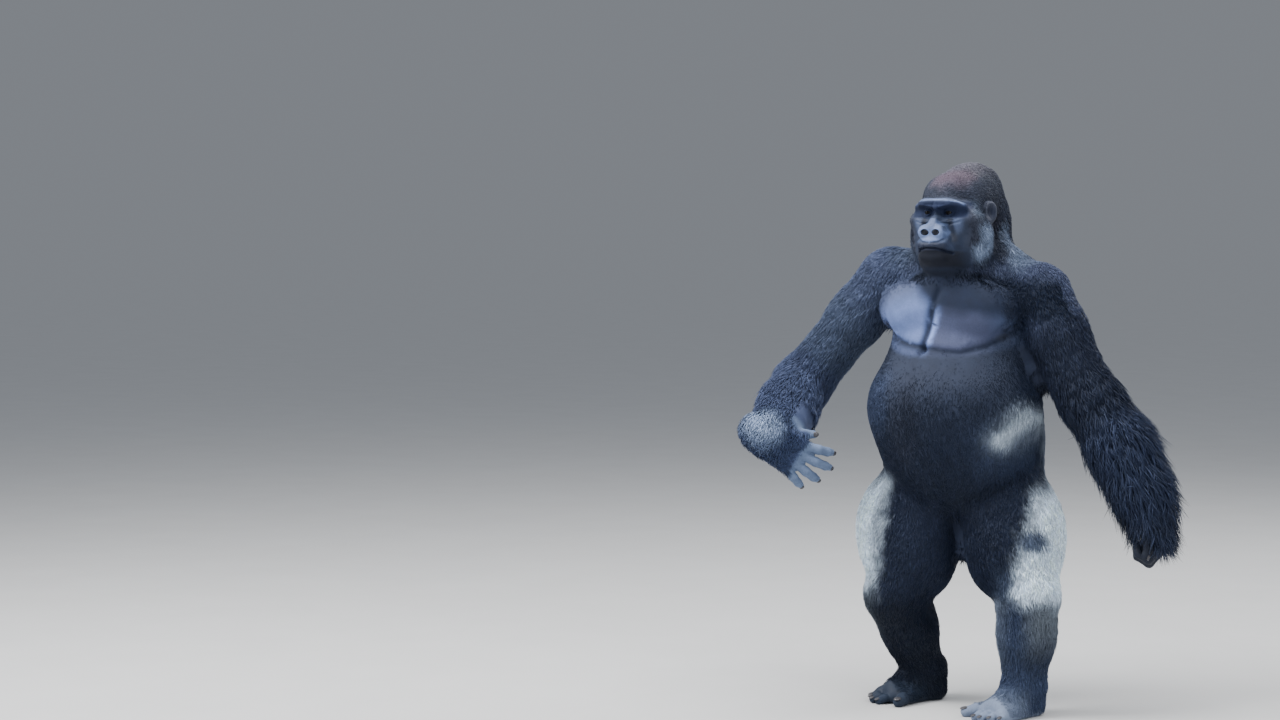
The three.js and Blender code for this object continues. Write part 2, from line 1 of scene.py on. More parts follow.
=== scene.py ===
"""A life-size silverback gorilla, standing on two legs.

The solids of the frame give the animal's outline with its coat on. Here one skin is drawn
over them and settled onto the same muscles, inside the outline by the coat's depth. The coat
is then grown from the skin as thin, closed locks of hair that lie the way the body's hair
lies. Skin and hair take their colours from one set of markings, with painted light and shade
laid into them.

Lengths inside the functions are millimetres in the body's own frame: the chest faces -Y, the
left side is +X, the floor is z = 0. Meshes are written in metres in the row's frame.
"""

import math

import bpy
import numpy as np
from mathutils import Matrix, Vector


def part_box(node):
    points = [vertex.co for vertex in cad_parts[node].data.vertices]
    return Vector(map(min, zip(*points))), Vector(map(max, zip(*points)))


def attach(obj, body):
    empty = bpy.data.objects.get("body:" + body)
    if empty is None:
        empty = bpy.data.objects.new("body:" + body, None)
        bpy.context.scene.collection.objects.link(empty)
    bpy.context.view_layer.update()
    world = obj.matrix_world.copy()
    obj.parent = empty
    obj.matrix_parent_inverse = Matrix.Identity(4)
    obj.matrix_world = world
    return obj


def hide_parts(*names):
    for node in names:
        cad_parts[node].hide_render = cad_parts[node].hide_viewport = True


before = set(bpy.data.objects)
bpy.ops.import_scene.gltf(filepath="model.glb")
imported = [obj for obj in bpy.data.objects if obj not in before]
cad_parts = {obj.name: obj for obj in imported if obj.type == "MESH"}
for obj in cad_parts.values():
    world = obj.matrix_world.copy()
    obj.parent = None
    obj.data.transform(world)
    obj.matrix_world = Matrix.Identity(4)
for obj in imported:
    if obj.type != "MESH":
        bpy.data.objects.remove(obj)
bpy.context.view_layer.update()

LEFT, RIGHT = 1, -1
SIDES = (LEFT, RIGHT)
SIDE_NAME = {LEFT: "left", RIGHT: "right"}
MM = 0.001


def vec(*xyz):
    return np.array(xyz, float)


def unit(vector):
    return vector / np.linalg.norm(vector, axis=-1, keepdims=True)


def smooth(value, low, high):
    """0 below low, 1 above high and an even S between. Low may be the larger."""
    t = np.clip((value - low) / (high - low), 0, 1)
    return t * t * (3 - 2 * t)


def mix(a, b, t):
    return a + (b - a) * t


def dot(a, b):
    """The dot product of each row of a with the same row of b."""
    return np.einsum("ij,ij->i", a, b)


# ------------------------------------------------------------------ skeleton
EAR_AXIS = vec(6, -65, 1499)
HEAD_TURN = math.radians(3)
SHOULDER = {LEFT: vec(250, -2, 1254), RIGHT: vec(-250, -4, 1298)}
ELBOW = {LEFT: vec(412, 8, 932), RIGHT: vec(-532, -46, 958)}
WRIST = {LEFT: vec(606, -24, 614), RIGHT: vec(-487, -341, 811)}
HIP = {LEFT: vec(112, -2, 688), RIGHT: vec(-112, 4, 682)}
KNEE = {LEFT: vec(262, -106, 360), RIGHT: vec(-168, -112, 336)}
ANKLE = {LEFT: vec(240, -86, 82), RIGHT: vec(-128, 7, 82)}
TOES_OUT = {LEFT: math.radians(-19), RIGHT: math.radians(-32)}
HAND_AHEAD = {LEFT: vec(0.4, 0, -0.92), RIGHT: vec(0.77, 0.33, -0.54)}
HAND_THUMB = {LEFT: vec(0.3, -0.95, 0), RIGHT: vec(0.45, 0.21, 0.86)}


class Place:
    """A frame for a part of the body: an origin and three axes."""

    def __init__(self, origin, x, y):
        z = unit(np.cross(x, y))
        self.origin = origin
        self.axes = np.array([unit(x), np.cross(z, unit(x)), z])

    def local(self, points):
        return (points - self.origin) @ self.axes.T

    def body(self, points):
        return np.asarray(points, float) @ self.axes + self.origin


HEAD = Place(
    EAR_AXIS,
    vec(math.cos(HEAD_TURN), math.sin(HEAD_TURN), 0),
    vec(-math.sin(HEAD_TURN), math.cos(HEAD_TURN), 0),
)
HAND = {s: Place(WRIST[s], HAND_AHEAD[s], HAND_THUMB[s]) for s in SIDES}
FOOT = {}
for side in SIDES:
    ahead = vec(math.sin(TOES_OUT[side]), -math.cos(TOES_OUT[side]), 0)
    FOOT[side] = Place(ANKLE[side] * (1, 1, 0), ahead, np.cross(vec(0, 0, 1), ahead))


def face(out, forward, up):
    """A point of the head, in its own frame: out to the left, forward and up from the ears."""
    return vec(out, -forward, up)


# Middles of the ears and eyes, in the head's frame.
EAR = {s: face(s * 113, 18, -4) for s in SIDES}
EYE = {s: face(s * 33, 142, -5) for s in SIDES}


def head_view(points):
    """Points in the head's frame, and how far out to a side, forward and up each is."""
    h = HEAD.local(points)
    return h, np.abs(h[:, 0]), -h[:, 1], h[:, 2]


def far_from(points, centre):
    return np.linalg.norm(points - centre, axis=1)


# ------------------------------------------------------------------ the field
def blend(a, b, k):
    """Blends two distances into one surface, rounding the corner between them over k."""
    h = np.maximum(k - np.abs(a - b), 0) / k
    return np.minimum(a, b) - h * h * k / 4


def cone(a, b, ra, rb):
    """Distance to a cone with round ends: a sphere of radius ra at a, rb at b."""
    length = np.linalg.norm(b - a)
    axis = (b - a) / length
    slope = (ra - rb) / length
    lean = slope / math.sqrt(1 - slope * slope)

    def distance(points):
        q = points - a
        run = q @ axis
        out = np.sqrt(np.maximum(dot(q, q) - run * run, 0))
        t = np.clip(run + out * lean, 0, length)
        return np.hypot(run - t, out) - (ra + (rb - ra) * t / length)

    distance.ball = ((a + b) / 2, length / 2 + max(ra, rb))
    return distance


def ellipsoid(centre, radii, tilt=0, spin=0):
    """Distance to an ellipsoid, tilted about y or spun about z by degrees."""
    ct, st = math.cos(math.radians(tilt)), math.sin(math.radians(tilt))
    cs, ss = math.cos(math.radians(spin)), math.sin(math.radians(spin))
    axes = np.array([[cs * ct, ss, -cs * st], [-ss * ct, cs, ss * st], [st, 0, ct]])
    radii = np.array(radii, float)

    def distance(points):
        q = (points - centre) @ axes.T / radii
        scaled = np.sqrt(dot(q, q))
        q /= radii
        return scaled * (scaled - 1) / np.maximum(np.sqrt(dot(q, q)), 1e-6)

    distance.ball = (centre, radii.max())
    return distance


EARSHOT = 70  # mm from a shape past which it has no say in the surface


class Field:
    """Shapes that are blended into one another and carved from one another, in turn."""

    def __init__(self, place=None):
        self.place = place
        self.steps = []

    def add(self, shape, k):
        self.steps.append((shape, k, False))

    def carve(self, shape, k):
        self.steps.append((shape, k, True))

    def onto(self, points, distance=None):
        """The distance once these shapes are blended into one that is already there."""
        if self.place:
            points = self.place.local(points)
        d = np.full(len(points), 1e3) if distance is None else distance.copy()
        for shape, k, carves in self.steps:
            centre, reach = shape.ball
            away = points - centre
            near = np.flatnonzero(dot(away, away) < (reach + EARSHOT) ** 2)
            other = shape(points[near])
            sign = -1 if carves else 1
            d[near] = sign * blend(sign * d[near], other, k)
        return d


def grow_trunk(body):
    body.add(ellipsoid(vec(0, -4, 1130), [214, 188, 230]), 1)
    body.add(ellipsoid(vec(0, 18, 1255), [222, 150, 105]), 60)
    body.add(ellipsoid(vec(0, -62, 905), [274, 228, 222]), 90)
    body.add(ellipsoid(vec(0, -72, 765), [212, 172, 165]), 70)
    body.add(ellipsoid(vec(0, 30, 705), [182, 140, 140]), 70)
    body.add(ellipsoid(vec(0, 62, 900), [190, 116, 240]), 80)
    body.add(ellipsoid(vec(8, 34, 1296), [192, 95, 146]), 40)  # trapezius
    body.add(ellipsoid(vec(4, 62, 1340), [118, 118, 125]), 50)  # withers, up into the nape
    body.add(ellipsoid(vec(150, 20, 790), [104, 90, 112]), 50)  # flank over the standing leg
    for s in SIDES:
        body.add(ellipsoid(vec(s * 140, 55, 1120), [92, 95, 190], tilt=s * 8), 60)
        body.add(ellipsoid(vec(s * 125, 92, 1250), [115, 70, 120]), 50)
        body.add(ellipsoid(vec(s * 98, 82, 655), [108, 95, 115]), 50)
        shoulder_top = SHOULDER[s] + vec(s * -30, 8, 10)
        body.add(cone(vec(s * 90, 20, 1326), shoulder_top, 70, 74), 36)
        body.add(ellipsoid(vec(s * 106, -132, 1208), [120, 66, 88], spin=s * 10), 22)


BOW = {LEFT: 22, RIGHT: 0}  # mm that a forearm bows away from the body


def grow_arm(body, s):
    upper = lambda t: mix(SHOULDER[s], ELBOW[s], t)
    lower = lambda t, share=0: mix(ELBOW[s], WRIST[s], t) + vec(s * BOW[s] * share, 0, 0)
    body.add(cone(upper(0.02), upper(0.36), 97, 88), 50)
    body.add(cone(upper(0.36), upper(1), 88, 88), 40)
    if s == LEFT:
        body.add(cone(upper(0.4) + vec(-26, 0, 0), upper(1) + vec(-34, 0, 20), 78, 80), 30)
    body.add(cone(lower(0, 0.5), lower(0.4, 1), 92, 93), 40)
    body.add(cone(lower(0.4, 1), lower(0.82, 0.6), 93, 86), 40)
    body.add(cone(lower(0.82, 0.6), lower(1), 84, 62), 30)


THIGH_BULGE = {LEFT: 46, RIGHT: 82}


def grow_leg(body, s):
    thigh = lambda t: mix(HIP[s], KNEE[s], t)
    shank = lambda t: mix(KNEE[s], ANKLE[s], t)
    body.add(cone(thigh(0.1), thigh(0.62), 138, 128), 60)
    body.add(cone(thigh(0.62), thigh(1), 124, 96), 50)
    body.add(ellipsoid(thigh(0.45) + vec(s * THIGH_BULGE[s], 16, 0), [116, 124, 170]), 50)
    body.add(ellipsoid(thigh(0.62) + vec(s * -62, 0, 0), [86, 84, 136]), 60)
    body.add(cone(shank(0), shank(0.4), 92, 82), 40)
    body.add(ellipsoid(shank(0.42) + vec(0, 26, 0), [76, 76, 110]), 40)
    body.add(cone(shank(0.4), shank(0.92), 80, 66), 40)


def grow_head(head):
    head.add(ellipsoid(face(0, -46, 5), [104, 164, 102]), 40)  # skull
    head.add(ellipsoid(face(0, -112, 74), [88, 140, 80]), 36)  # crest
    head.add(ellipsoid(face(0, 14, 58), [58, 80, 50]), 36)  # forehead
    head.add(ellipsoid(face(0, -138, -46), [121, 106, 150]), 36)  # nape
    head.add(ellipsoid(face(0, 95, -45), [84, 78, 72]), 40)  # middle of the face
    head.add(ellipsoid(face(0, 140, -98), [64, 76, 44]), 24)  # upper lip
    head.add(ellipsoid(face(0, 134, -140), [56, 64, 42]), 20)  # lower lip and chin
    head.add(cone(face(0, 60, -140), face(0, 40, -240), 80, 105), 60)  # throat
    head.add(cone(face(0, 150, -10), face(0, 184, -50), 17, 25), 20)  # bridge of the nose
    head.add(cone(face(-34, 151, 15), face(34, 151, 15), 22, 22), 20)  # brow ridge
    for s in SIDES:
        head.add(cone(face(s * 34, 151, 15), face(s * 68, 122, 8), 22, 16), 16)
        head.add(ellipsoid(face(s * 25, 188, -62), [21, 23, 18]), 12)  # wing of the nose
        head.add(ellipsoid(face(s * 72, 98, -26), [36, 42, 26]), 24)  # cheekbone
        head.add(ellipsoid(face(s * 83, 36, -84), [46, 72, 84]), 34)  # jaw muscle
        head.add(ellipsoid(face(s * 62, -22, 44), [44, 86, 60]), 36)  # temple
        head.carve(ellipsoid(face(s * 38, 167, -6), [26, 27, 14]), 10)  # eye socket


EYE_RADIUS = 11.5
LID_DEPTH = 2.0


def carve_face(detail):
    """What the bare face shows on top of its masses: sockets, lids, nostrils and lips."""
    for s in SIDES:
        eye = EYE[s]
        detail.carve(ellipsoid(face(s * 36, 170, -6), [33, 24, 15]), 12)
        detail.carve(cone(face(s * 46, 166, -2), face(s * 80, 134, -4), 11, 8), 14)
        detail.add(ellipsoid(eye, [EYE_RADIUS + LID_DEPTH] * 3), 3)
        detail.carve(ellipsoid(eye + face(s * 1, 12, 0), [12.5, 11, 4.6]), 1.5)
        detail.add(ellipsoid(face(s * 25, 190, -60), [20, 19, 22]), 8)
        detail.carve(ellipsoid(face(s * 17, 207, -63), [11.5, 18, 8], spin=s * 24), 2.5)
    detail.carve(cone(face(0, 216, -42), face(0, 222, -80), 4, 3), 10)
    detail.add(cone(face(-32, 194, -101), face(32, 194, -101), 10, 10), 16)  # upper lip
    detail.add(cone(face(-26, 182, -132), face(26, 182, -132), 15, 15), 16)  # lower lip


# ------------------------------------------------------------------ hands, feet and ears
KNUCKLE_ACROSS = (42, 14, -14, -41)  # index finger first
KNUCKLE_ALONG = (98, 104, 99, 90)
FINGER_LENGTHS = ((50, 34, 24), (56, 38, 25), (52, 35, 24), (42, 27, 21))
FINGER_RADII = ((15, 14.5, 13.5, 11),) * 3 + ((14, 13.5, 12.5, 10.5),)
FINGER_SPLAY = {LEFT: (3, 1, -1, -3), RIGHT: (16, 6, -8, -22)}
FINGER_BENDS = {LEFT: (62, 80, 52), RIGHT: (12, 26, 22)}
THUMB_SPLAY = {LEFT: 18, RIGHT: 34}
THUMB_BENDS = {LEFT: (18, 20), RIGHT: (4, 10)}
TOES = ((132, -22, -3, 50), (136, 2, 0, 48), (130, 26, 4, 43), (118, 49, 9, 38))


def bent_chain(start, splay, lengths, bends):
    """Points along a digit that starts at a joint, splays to a side and bends at each joint."""
    points = [start]
    bend = 0
    for length, turn in zip(lengths, bends):
        bend += math.radians(turn)
        run = vec(math.cos(math.radians(splay)), math.sin(math.radians(splay)), 0)
        step = run * math.cos(bend) * length + vec(0, 0, math.sin(bend) * length)
        points.append(points[-1] + step)
    return points


def add_digit(field, points, radii, k):
    """One digit as cones from joint to joint, its own shape before it joins the rest."""
    bones = [cone(*ends) for ends in zip(points, points[1:], radii, radii[1:])]

    def distance(p):
        d = bones[0](p)
        for bone in bones[1:]:
            d = blend(d, bone(p), 5)
        return d

    distance.ball = (points[1], max(np.linalg.norm(p - points[1]) for p in points) + radii[0])
    field.add(distance, k)


def hand_chains(s):
    """Each finger's and the thumb's joints and radii, in the hand's frame."""
    chains = []
    for i in range(4):
        start = vec(KNUCKLE_ALONG[i], KNUCKLE_ACROSS[i], 0)
        bends = [s * bend for bend in FINGER_BENDS[s]]
        points = bent_chain(start, FINGER_SPLAY[s][i], FINGER_LENGTHS[i], bends)
        chains.append((points, FINGER_RADII[i]))
    bends = [s * bend for bend in THUMB_BENDS[s]]
    points = bent_chain(vec(58, 52, s * 18), THUMB_SPLAY[s], (34, 28), bends)
    chains.append((points, (18, 16, 12)))
    return chains


def grow_hand(s):
    hand = Field(HAND[s])
    for i in range(4):
        knuckle = vec(KNUCKLE_ALONG[i], KNUCKLE_ACROSS[i], 0)
        hand.add(cone(vec(0, KNUCKLE_ACROSS[i] * 0.5, 0), knuckle, 38, 20), 16 if i else 1)
    hand.add(cone(vec(-40, 0, 0), vec(10, 0, 0), 52, 44), 24)
    hand.add(cone(vec(22, 30, s * 12), vec(62, 54, s * 20), 30, 21), 16)
    for points, radii in hand_chains(s):
        add_digit(hand, points, radii, 5)
    return hand


def foot_chains(s):
    chains = []
    for along, across, splay, reach in TOES:
        start = vec(along, s * across, 15.5)
        points = bent_chain(start, s * splay, (reach / 2, reach / 2), (4, -22))
        chains.append((points, (13.5, 12.5, 11)))
    points = bent_chain(vec(84, s * -48, 21), s * -32, (44, 34), (-2, -8))
    chains.append((points, (24, 20, 16)))
    return chains


def grow_foot(s):
    foot = Field(FOOT[s])
    foot.add(cone(vec(-26, 0, 34), vec(0, 0, 42), 41, 48), 1)  # heel
    foot.add(cone(vec(-10, s * 2, 90), vec(100, s * 4, 38), 60, 36), 30)  # instep
    foot.add(cone(vec(-20, s * 16, 26), vec(128, s * 40, 18), 34, 24), 24)  # outer edge
    foot.add(cone(vec(-20, s * -14, 30), vec(120, s * -26, 22), 36, 28), 24)  # inner edge
    foot.add(cone(vec(60, s * -30, 23), vec(96, s * -52, 20), 30, 24), 20)
    for points, radii in foot_chains(s):
        add_digit(foot, points, radii, 4)
    return foot


EAR_TURN = 28


def grow_ear(s):
    """An ear: a thin upright disc with a rolled rim, a bowl and a small lobe."""
    turn = HEAD_TURN - s * math.radians(EAR_TURN)
    across = vec(math.cos(turn), math.sin(turn), 0)
    back = vec(-math.sin(turn), math.cos(turn), 0)
    ear = Field(Place(HEAD.body(EAR[s]), across, back))
    ear.add(ellipsoid(vec(0, 0, 0), [12, 25, 34]), 1)
    ear.add(ellipsoid(vec(s * 2, -12, -27), [9, 10, 12]), 8)  # lobe
    ear.carve(ellipsoid(vec(s * 12, -1, 4), [11, 17, 24]), 4)
    ear.carve(ellipsoid(vec(s * 6, -6, -2), [11, 9, 12]), 4)
    ear.add(cone(vec(s * 4, 6, -14), vec(s * 4, 9, 14), 3, 3), 5)  # inner fold
    return ear


def place_between(points, a, b):
    """How far along a bone each point lies, 0 to 1, and how far it is from the bone."""
    axis = b - a
    away = points - a
    t = np.clip(away @ axis / (axis @ axis), 0, 1)
    away -= t[:, None] * axis
    return t, np.sqrt(dot(away, away))


# ------------------------------------------------------------------ the coat's plan
class Region:
    """A stretch of the coat along one bone: how deep, long and thick its hair is there.

    Depth is how far the skin lies inside the outline and length how long a lock is, in mm
    at the bone's start and end. Lift is how steeply locks rise, spacing how far apart they
    grow and width how broad they are. Lie is the way they point.
    """

    def __init__(self, piece, a, b, radius, depth, length, lift, spacing, width, lie):
        self.piece, self.a, self.b, self.radius = piece, a, b, radius
        self.depth, self.length, self.lift = depth, length, lift
        self.spacing, self.width, self.lie = spacing, width, unit(lie)

    def near(self, points):
        t, out = place_between(points, self.a, self.b)
        return t, (out / self.radius) ** -6


FOREARM_HAIR = {LEFT: (76, 88), RIGHT: (60, 34)}  # mm long at the elbow and the wrist
FOREARM_LIFT = {LEFT: 0.54, RIGHT: 0.34}


def plan_coat():
    down = vec(0, 0, -1)
    in_head = lambda *p: HEAD.body(face(*p))
    head_way = lambda *p: face(*p) @ HEAD.axes
    regions = [
        Region("coat_head", in_head(0, 70, 40), in_head(0, -90, 60), 82,
               (4, 8), (12, 20), 0.22, 3.3, 2.2, head_way(0, -1, -0.15)),
        Region("coat_neck", in_head(0, -110, 10), in_head(0, -110, -130), 100,
               (9, 12), (22, 30), 0.18, 4, 2.6, head_way(0, -0.25, -1)),
        Region("muzzle", in_head(0, 110, -40), in_head(0, 130, -140), 75,
               (0, 1), (7, 9), 0.25, 5, 1.4, head_way(0, -0.6, -1)),
        Region("coat_neck", vec(0, -60, 1330), vec(0, -90, 1300), 120,
               (4, 4), (18, 22), 0.2, 4.6, 2.2, vec(0, -0.3, -1)),
        Region("coat_back", vec(0, 60, 1290), vec(0, 70, 1000), 150,
               (8, 8), (38, 42), 0.24, 4.7, 3, down),
        Region("coat_belly", vec(0, -60, 1150), vec(0, -60, 740), 190,
               (2, 5), (10, 22), 0.13, 4, 1.5, down),
        Region("coat_back", vec(0, 60, 900), vec(0, 60, 660), 160,
               (7, 7), (36, 32), 0.22, 4.6, 2.8, down),
    ]
    for s in SIDES:
        tag = SIDE_NAME[s]
        regions += [
            Region("coat_head", in_head(s * 80, 25, -30), in_head(s * 70, 45, -130), 52,
                   (4, 6), (12, 24), 0.25, 3.5, 2.2, head_way(s * 0.3, -0.7, -1)),
            Region(f"coat_upper_arm_{tag}", SHOULDER[s], ELBOW[s], 92,
                   (8, 11), (28, 46), 0.25, 4.7, 3, unit(ELBOW[s] - SHOULDER[s]) + down * 0.3),
            Region(f"coat_forearm_{tag}", ELBOW[s], WRIST[s], 90,
                   (14, 12), FOREARM_HAIR[s], FOREARM_LIFT[s], 4.8, 3.2,
                   unit(WRIST[s] - ELBOW[s]) + down * 0.5),
            Region(f"coat_forearm_{tag}", WRIST[s], HAND[s].body(vec(95, 0, 0)), 42,
                   (6, 1), (32 + s * 10, 12 + s * 4), 0.2 + s * 0.1, 3.8, 2, HAND[s].axes[0]),
            Region(f"coat_thigh_{tag}", HIP[s] + vec(s * 40, 0, -60), KNEE[s], 120,
                   (8, 9), (30, 32), 0.26, 4.7, 3, unit(KNEE[s] - HIP[s]) + down * 0.3),
            Region(f"coat_shank_{tag}", KNEE[s], ANKLE[s], 78,
                   (8, 5), (32, 24), 0.25, 4.6, 2.6, unit(ANKLE[s] - KNEE[s])),
            Region(f"coat_shank_{tag}", FOOT[s].body(vec(0, 0, 50)), FOOT[s].body(vec(95, 0, 25)),
                   38, (2, 1), (14, 9), 0.25, 4.2, 1.7, FOOT[s].axes[0]),
        ]
    return regions


COAT = plan_coat()


def shares(points):
    """For each region, how far along it each point is and how much say it has there."""
    parts = [region.near(points) for region in COAT]
    says = np.array([say for _, say in parts])
    return np.array([t for t, _ in parts]), says / says.sum(0)


def from_plan(name, at, says):
    ends = np.array([getattr(region, name) for region in COAT], float)
    if ends.ndim == 1:
        return ends @ says
    return ((ends[:, :1] + (ends[:, 1:] - ends[:, :1]) * at) * says).sum(0)


def in_oblong(x, z, middle, half, soft):
    """1 inside a rounded oblong of the trunk's front and 0 outside it."""
    ring = np.abs((x - middle[0]) / half[0]) ** 3 + np.abs((z - middle[1]) / half[1]) ** 3
    return smooth(ring, 1 + soft, 1 - soft)


def breastbone(z):
    """The breastbone's x at a height."""
    return -36 + 0.33 * (z - 1104)


def throat_shadow(points):
    """1 over the top of the chest, lower towards the left: painted shadow under the chin, and the
    dark hair that comes down there.
    """
    x, y, z = points.T
    across = x - breastbone(z)
    top = 1196 + 0.8 * np.clip(-across, 0, 110) - 0.1 * np.clip(across, 0, 200)
    top = top + 5 * waves(points, 60, 33)
    return smooth(z, top - 16, top + 36) * smooth(z, 1330, 1280) * smooth(x, -150, -90) * (y < -40)


def bare_chest(points):
    x, y, z = points.T
    return in_oblong(x, z, (8, 1184), (206, 108), 0.5) * smooth(y, -50, -95)


def thin_belly(points):
    x, y, z = points.T
    across = smooth(np.abs(x - 10), 205, 110) * smooth(y, -50, -150)
    return across * smooth(z + 22 * waves(points, 60, 31), 900, 1050) * smooth(z, 1180, 1120)


def bareness(points):
    """1 where the skin is bare: face, ears, chest, palms, soles, fingers and toes."""
    out, forward, up = head_view(points)[1:]
    top = 38 - 0.12 * out
    bare = smooth(forward, 55, 85) * smooth(up, top + 6, top - 6)
    bare *= smooth(out, 96, 78) * smooth(up, -178, -158)
    for s in SIDES:
        ear = HEAD.body(EAR[s])
        on_ear = smooth(far_from(points, ear), 40, 30) * smooth(out, 104, 108)
        bare = np.maximum(bare, on_ear)
    bare = np.maximum(bare, bare_chest(points))
    bare = np.maximum(bare, 0.97 * thin_belly(points))
    for s in SIDES:
        q = HAND[s].local(points)
        here = smooth(far_from(q, vec(70, 0, 0)), 190, 170) * (q[:, 0] > -30)
        palm = np.maximum(smooth(q[:, 0], 96, 116), smooth(-q[:, 2] * -s, 4, 14))
        bare = np.maximum(bare, here * palm * smooth(q[:, 0], 6, 30))
        q = FOOT[s].local(points)
        here = smooth(np.abs(q[:, 1]), 130, 110) * smooth(np.abs(q[:, 0] - 50), 170, 150)
        sole = np.maximum(smooth(q[:, 0], 108, 128), smooth(q[:, 2], 24, 12))
        bare = np.maximum(bare, here * sole * (q[:, 2] < 110))
    return bare


# ------------------------------------------------------------------ the skin's distance
FLESH = Field()
grow_trunk(FLESH)
for side in SIDES:
    grow_arm(FLESH, side)
for side in SIDES:
    grow_leg(FLESH, side)
MASSES = Field(HEAD)
grow_head(MASSES)
FACE = Field(HEAD)
carve_face(FACE)
FACE_MIDDLE = HEAD.body(face(0, 160, -50))
FACE_REACH = 160
TIPS = []  # fields of hands, feet and ears, with their middle, reach and blend
for side in SIDES:
    TIPS.append((grow_hand(side), HAND[side].body(vec(80, 0, 0)), 210, 16))
    TIPS.append((grow_foot(side), FOOT[side].body(vec(60, 0, 40)), 210, 24))
    TIPS.append((grow_ear(side), HEAD.body(EAR[side]), 60, 5))


def skin_distance(points):
    """Distance to the skin: the coat's outline less the coat, with the face's details."""
    at, says = shares(points)
    d = MASSES.onto(points, FLESH.onto(points))
    d = d + from_plan("depth", at, says) * (1 - bareness(points))
    near = far_from(points, FACE_MIDDLE) < FACE_REACH
    d[near] = FACE.onto(points[near], d[near])
    for field, centre, reach, k in TIPS:
        near = far_from(points, centre) < reach
        d[near] = blend(d[near], field.onto(points[near]), k)
    return d


CORNERS = np.array([[1, 1, 1], [1, -1, -1], [-1, 1, -1], [-1, -1, 1]], float)


def distance_and_slope(points, step=0.8):
    """The skin's distance and which way it rises, by four samples round each point."""
    samples = np.array([skin_distance(points + corner * step) for corner in CORNERS])
    return samples.mean(0), samples.T @ CORNERS / (4 * step)


def settle(points, rounds, reach, height=0):
    """Moves points to a height over the skin, by no more than reach in each round."""
    for _ in range(rounds):
        d, slope = distance_and_slope(points)
        steep = np.maximum(dot(slope, slope), 0.05)
        points = points - slope * np.clip((d - height) / steep, -reach, reach)[:, None]
    return points


# ------------------------------------------------------------------ folds of the skin
def along_path(points, path):
    """Distance from each point to a bent line, in space or in a plane."""
    path = [np.array(place, float) for place in path]
    return np.min([place_between(points, a, b)[1] for a, b in zip(path, path[1:])], axis=0)


def head_path(*places):
    return [HEAD.body(face(*place)) for place in places]


def mirrored(half):
    """A line over the face from the right to the left, from its left half."""
    return [(-out, up) for out, up in reversed(half) if out] + list(half)


def face_folds():
    """Folds as seen from in front: their line (out, up), half width and depth in mm."""
    lines = [
        (mirrored([(0, -111), (17, -111), (36, -116), (54, -125)]), 3, 9),  # mouth
        (mirrored([(0, -157), (34, -153)]), 11, 3),  # under the lower lip
        (mirrored([(0, 20), (30, 18)]), 5, 2.5),
    ]
    for s in SIDES:
        lines += [
            ([(s * 20, -30), (s * 42, -38), (s * 50, -60), (s * 56, -86), (s * 64, -116)], 6, 7),
            ([(s * 14, -24), (s * 36, -28), (s * 60, -22)], 3, 2.6),  # under the eye
            ([(s * 22, -34), (s * 44, -39), (s * 68, -32)], 3, 2),
            ([(s * 5, -93), (s * 26, -92), (s * 43, -80), (s * 47, -62)], 4, 3.4),  # round the nose
            ([(s * 15, -97), (s * 18, -106)], 2.4, 1.2),
            ([(s * 32, -98), (s * 37, -110)], 2.4, 1.2),
            ([(s * 46, -100), (s * 53, -116)], 2.6, 1.4),
            ([(s * 9, 4), (s * 8, 16), (s * 5, 28)], 3, 2.2),  # frown
        ]
    return lines


def trunk_folds():
    """Folds of the chest and belly, as seen from in front: line (x, z), half width, depth.

    A negative depth is a ridge.
    """
    return [
        ([(14, 1262), (0, 1225), (-19, 1169), (-36, 1104), (-40, 1080)], 11, 9),  # breastbone
        ([(-186, 1160), (-172, 1122), (-107, 1104), (-39, 1094)], 11, 10),  # under each breast
        ([(-39, 1094), (23, 1085), (83, 1080), (143, 1099), (205, 1156)], 12, 12),
        ([(-104, 1306), (-150, 1268), (-184, 1220), (-190, 1165)], 24, 3),  # breast to arm
        ([(112, 1306), (152, 1280), (192, 1238), (216, 1176)], 15, 8),
        ([(99, 1113), (100, 1113)], 7, -5),  # nipples
        ([(-146, 1128), (-145, 1128)], 7, -5),
        ([(-110, 1052), (0, 1046), (100, 1046)], 14, 2.2),
        ([(-100, 1018), (0, 1008), (120, 1016)], 16, 2),
        ([(-42, 1070), (-46, 960), (-48, 840)], 22, 3),
        ([(268, 905), (252, 882), (232, 866), (206, 856)], 10, 6),  # flank
        ([(-178, 716), (-120, 668), (-64, 636)], 13, 8),  # groin
        ([(236, 716), (166, 668), (92, 636)], 13, 8),
    ]


def press(points, normals, near, flat, lines):
    """Presses folds into the points that are near, by where each lies in a flat view."""
    shift = np.zeros(len(flat))
    for path, width, depth in lines:
        shift += depth * np.exp(-((along_path(flat, path) / width) ** 2))
    points[near] -= normals[near] * shift[:, None]


def press_folds(points, normals):
    h, out, forward, up = head_view(points)
    near = np.flatnonzero((forward > 70) & (up > -180) & (out < 110))
    press(points, normals, near, h[near][:, [0, 2]], face_folds())
    x, y, z = points.T
    in_front = (y < -30) & (z > 560) & (z < 1325) & (np.abs(x) < 290)
    near = np.flatnonzero(in_front & (normals[:, 1] < -0.15))
    press(points, normals, near, points[near][:, [0, 2]], trunk_folds())
    return points


# ------------------------------------------------------------------ making meshes
def eye_middle():
    """The middle between the frame's two eyes, in the row's frame, in mm."""
    corners = [corner for name in ("eye_left", "eye_right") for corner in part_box(name)]
    return np.mean([list(corner) for corner in corners], axis=0) / MM


HOME = eye_middle() - HEAD.body((EYE[LEFT] + EYE[RIGHT]) / 2)


def to_row(points):
    return (points + HOME) * MM


def from_row(points):
    return points / MM - HOME


def show(obj):
    """Puts a new object in the scene."""
    bpy.context.scene.collection.objects.link(obj)
    return obj


def only(obj):
    """Deselects everything but one object and makes it the active one."""
    bpy.ops.object.select_all(action="DESELECT")
    obj.select_set(True)
    bpy.context.view_layer.objects.active = obj


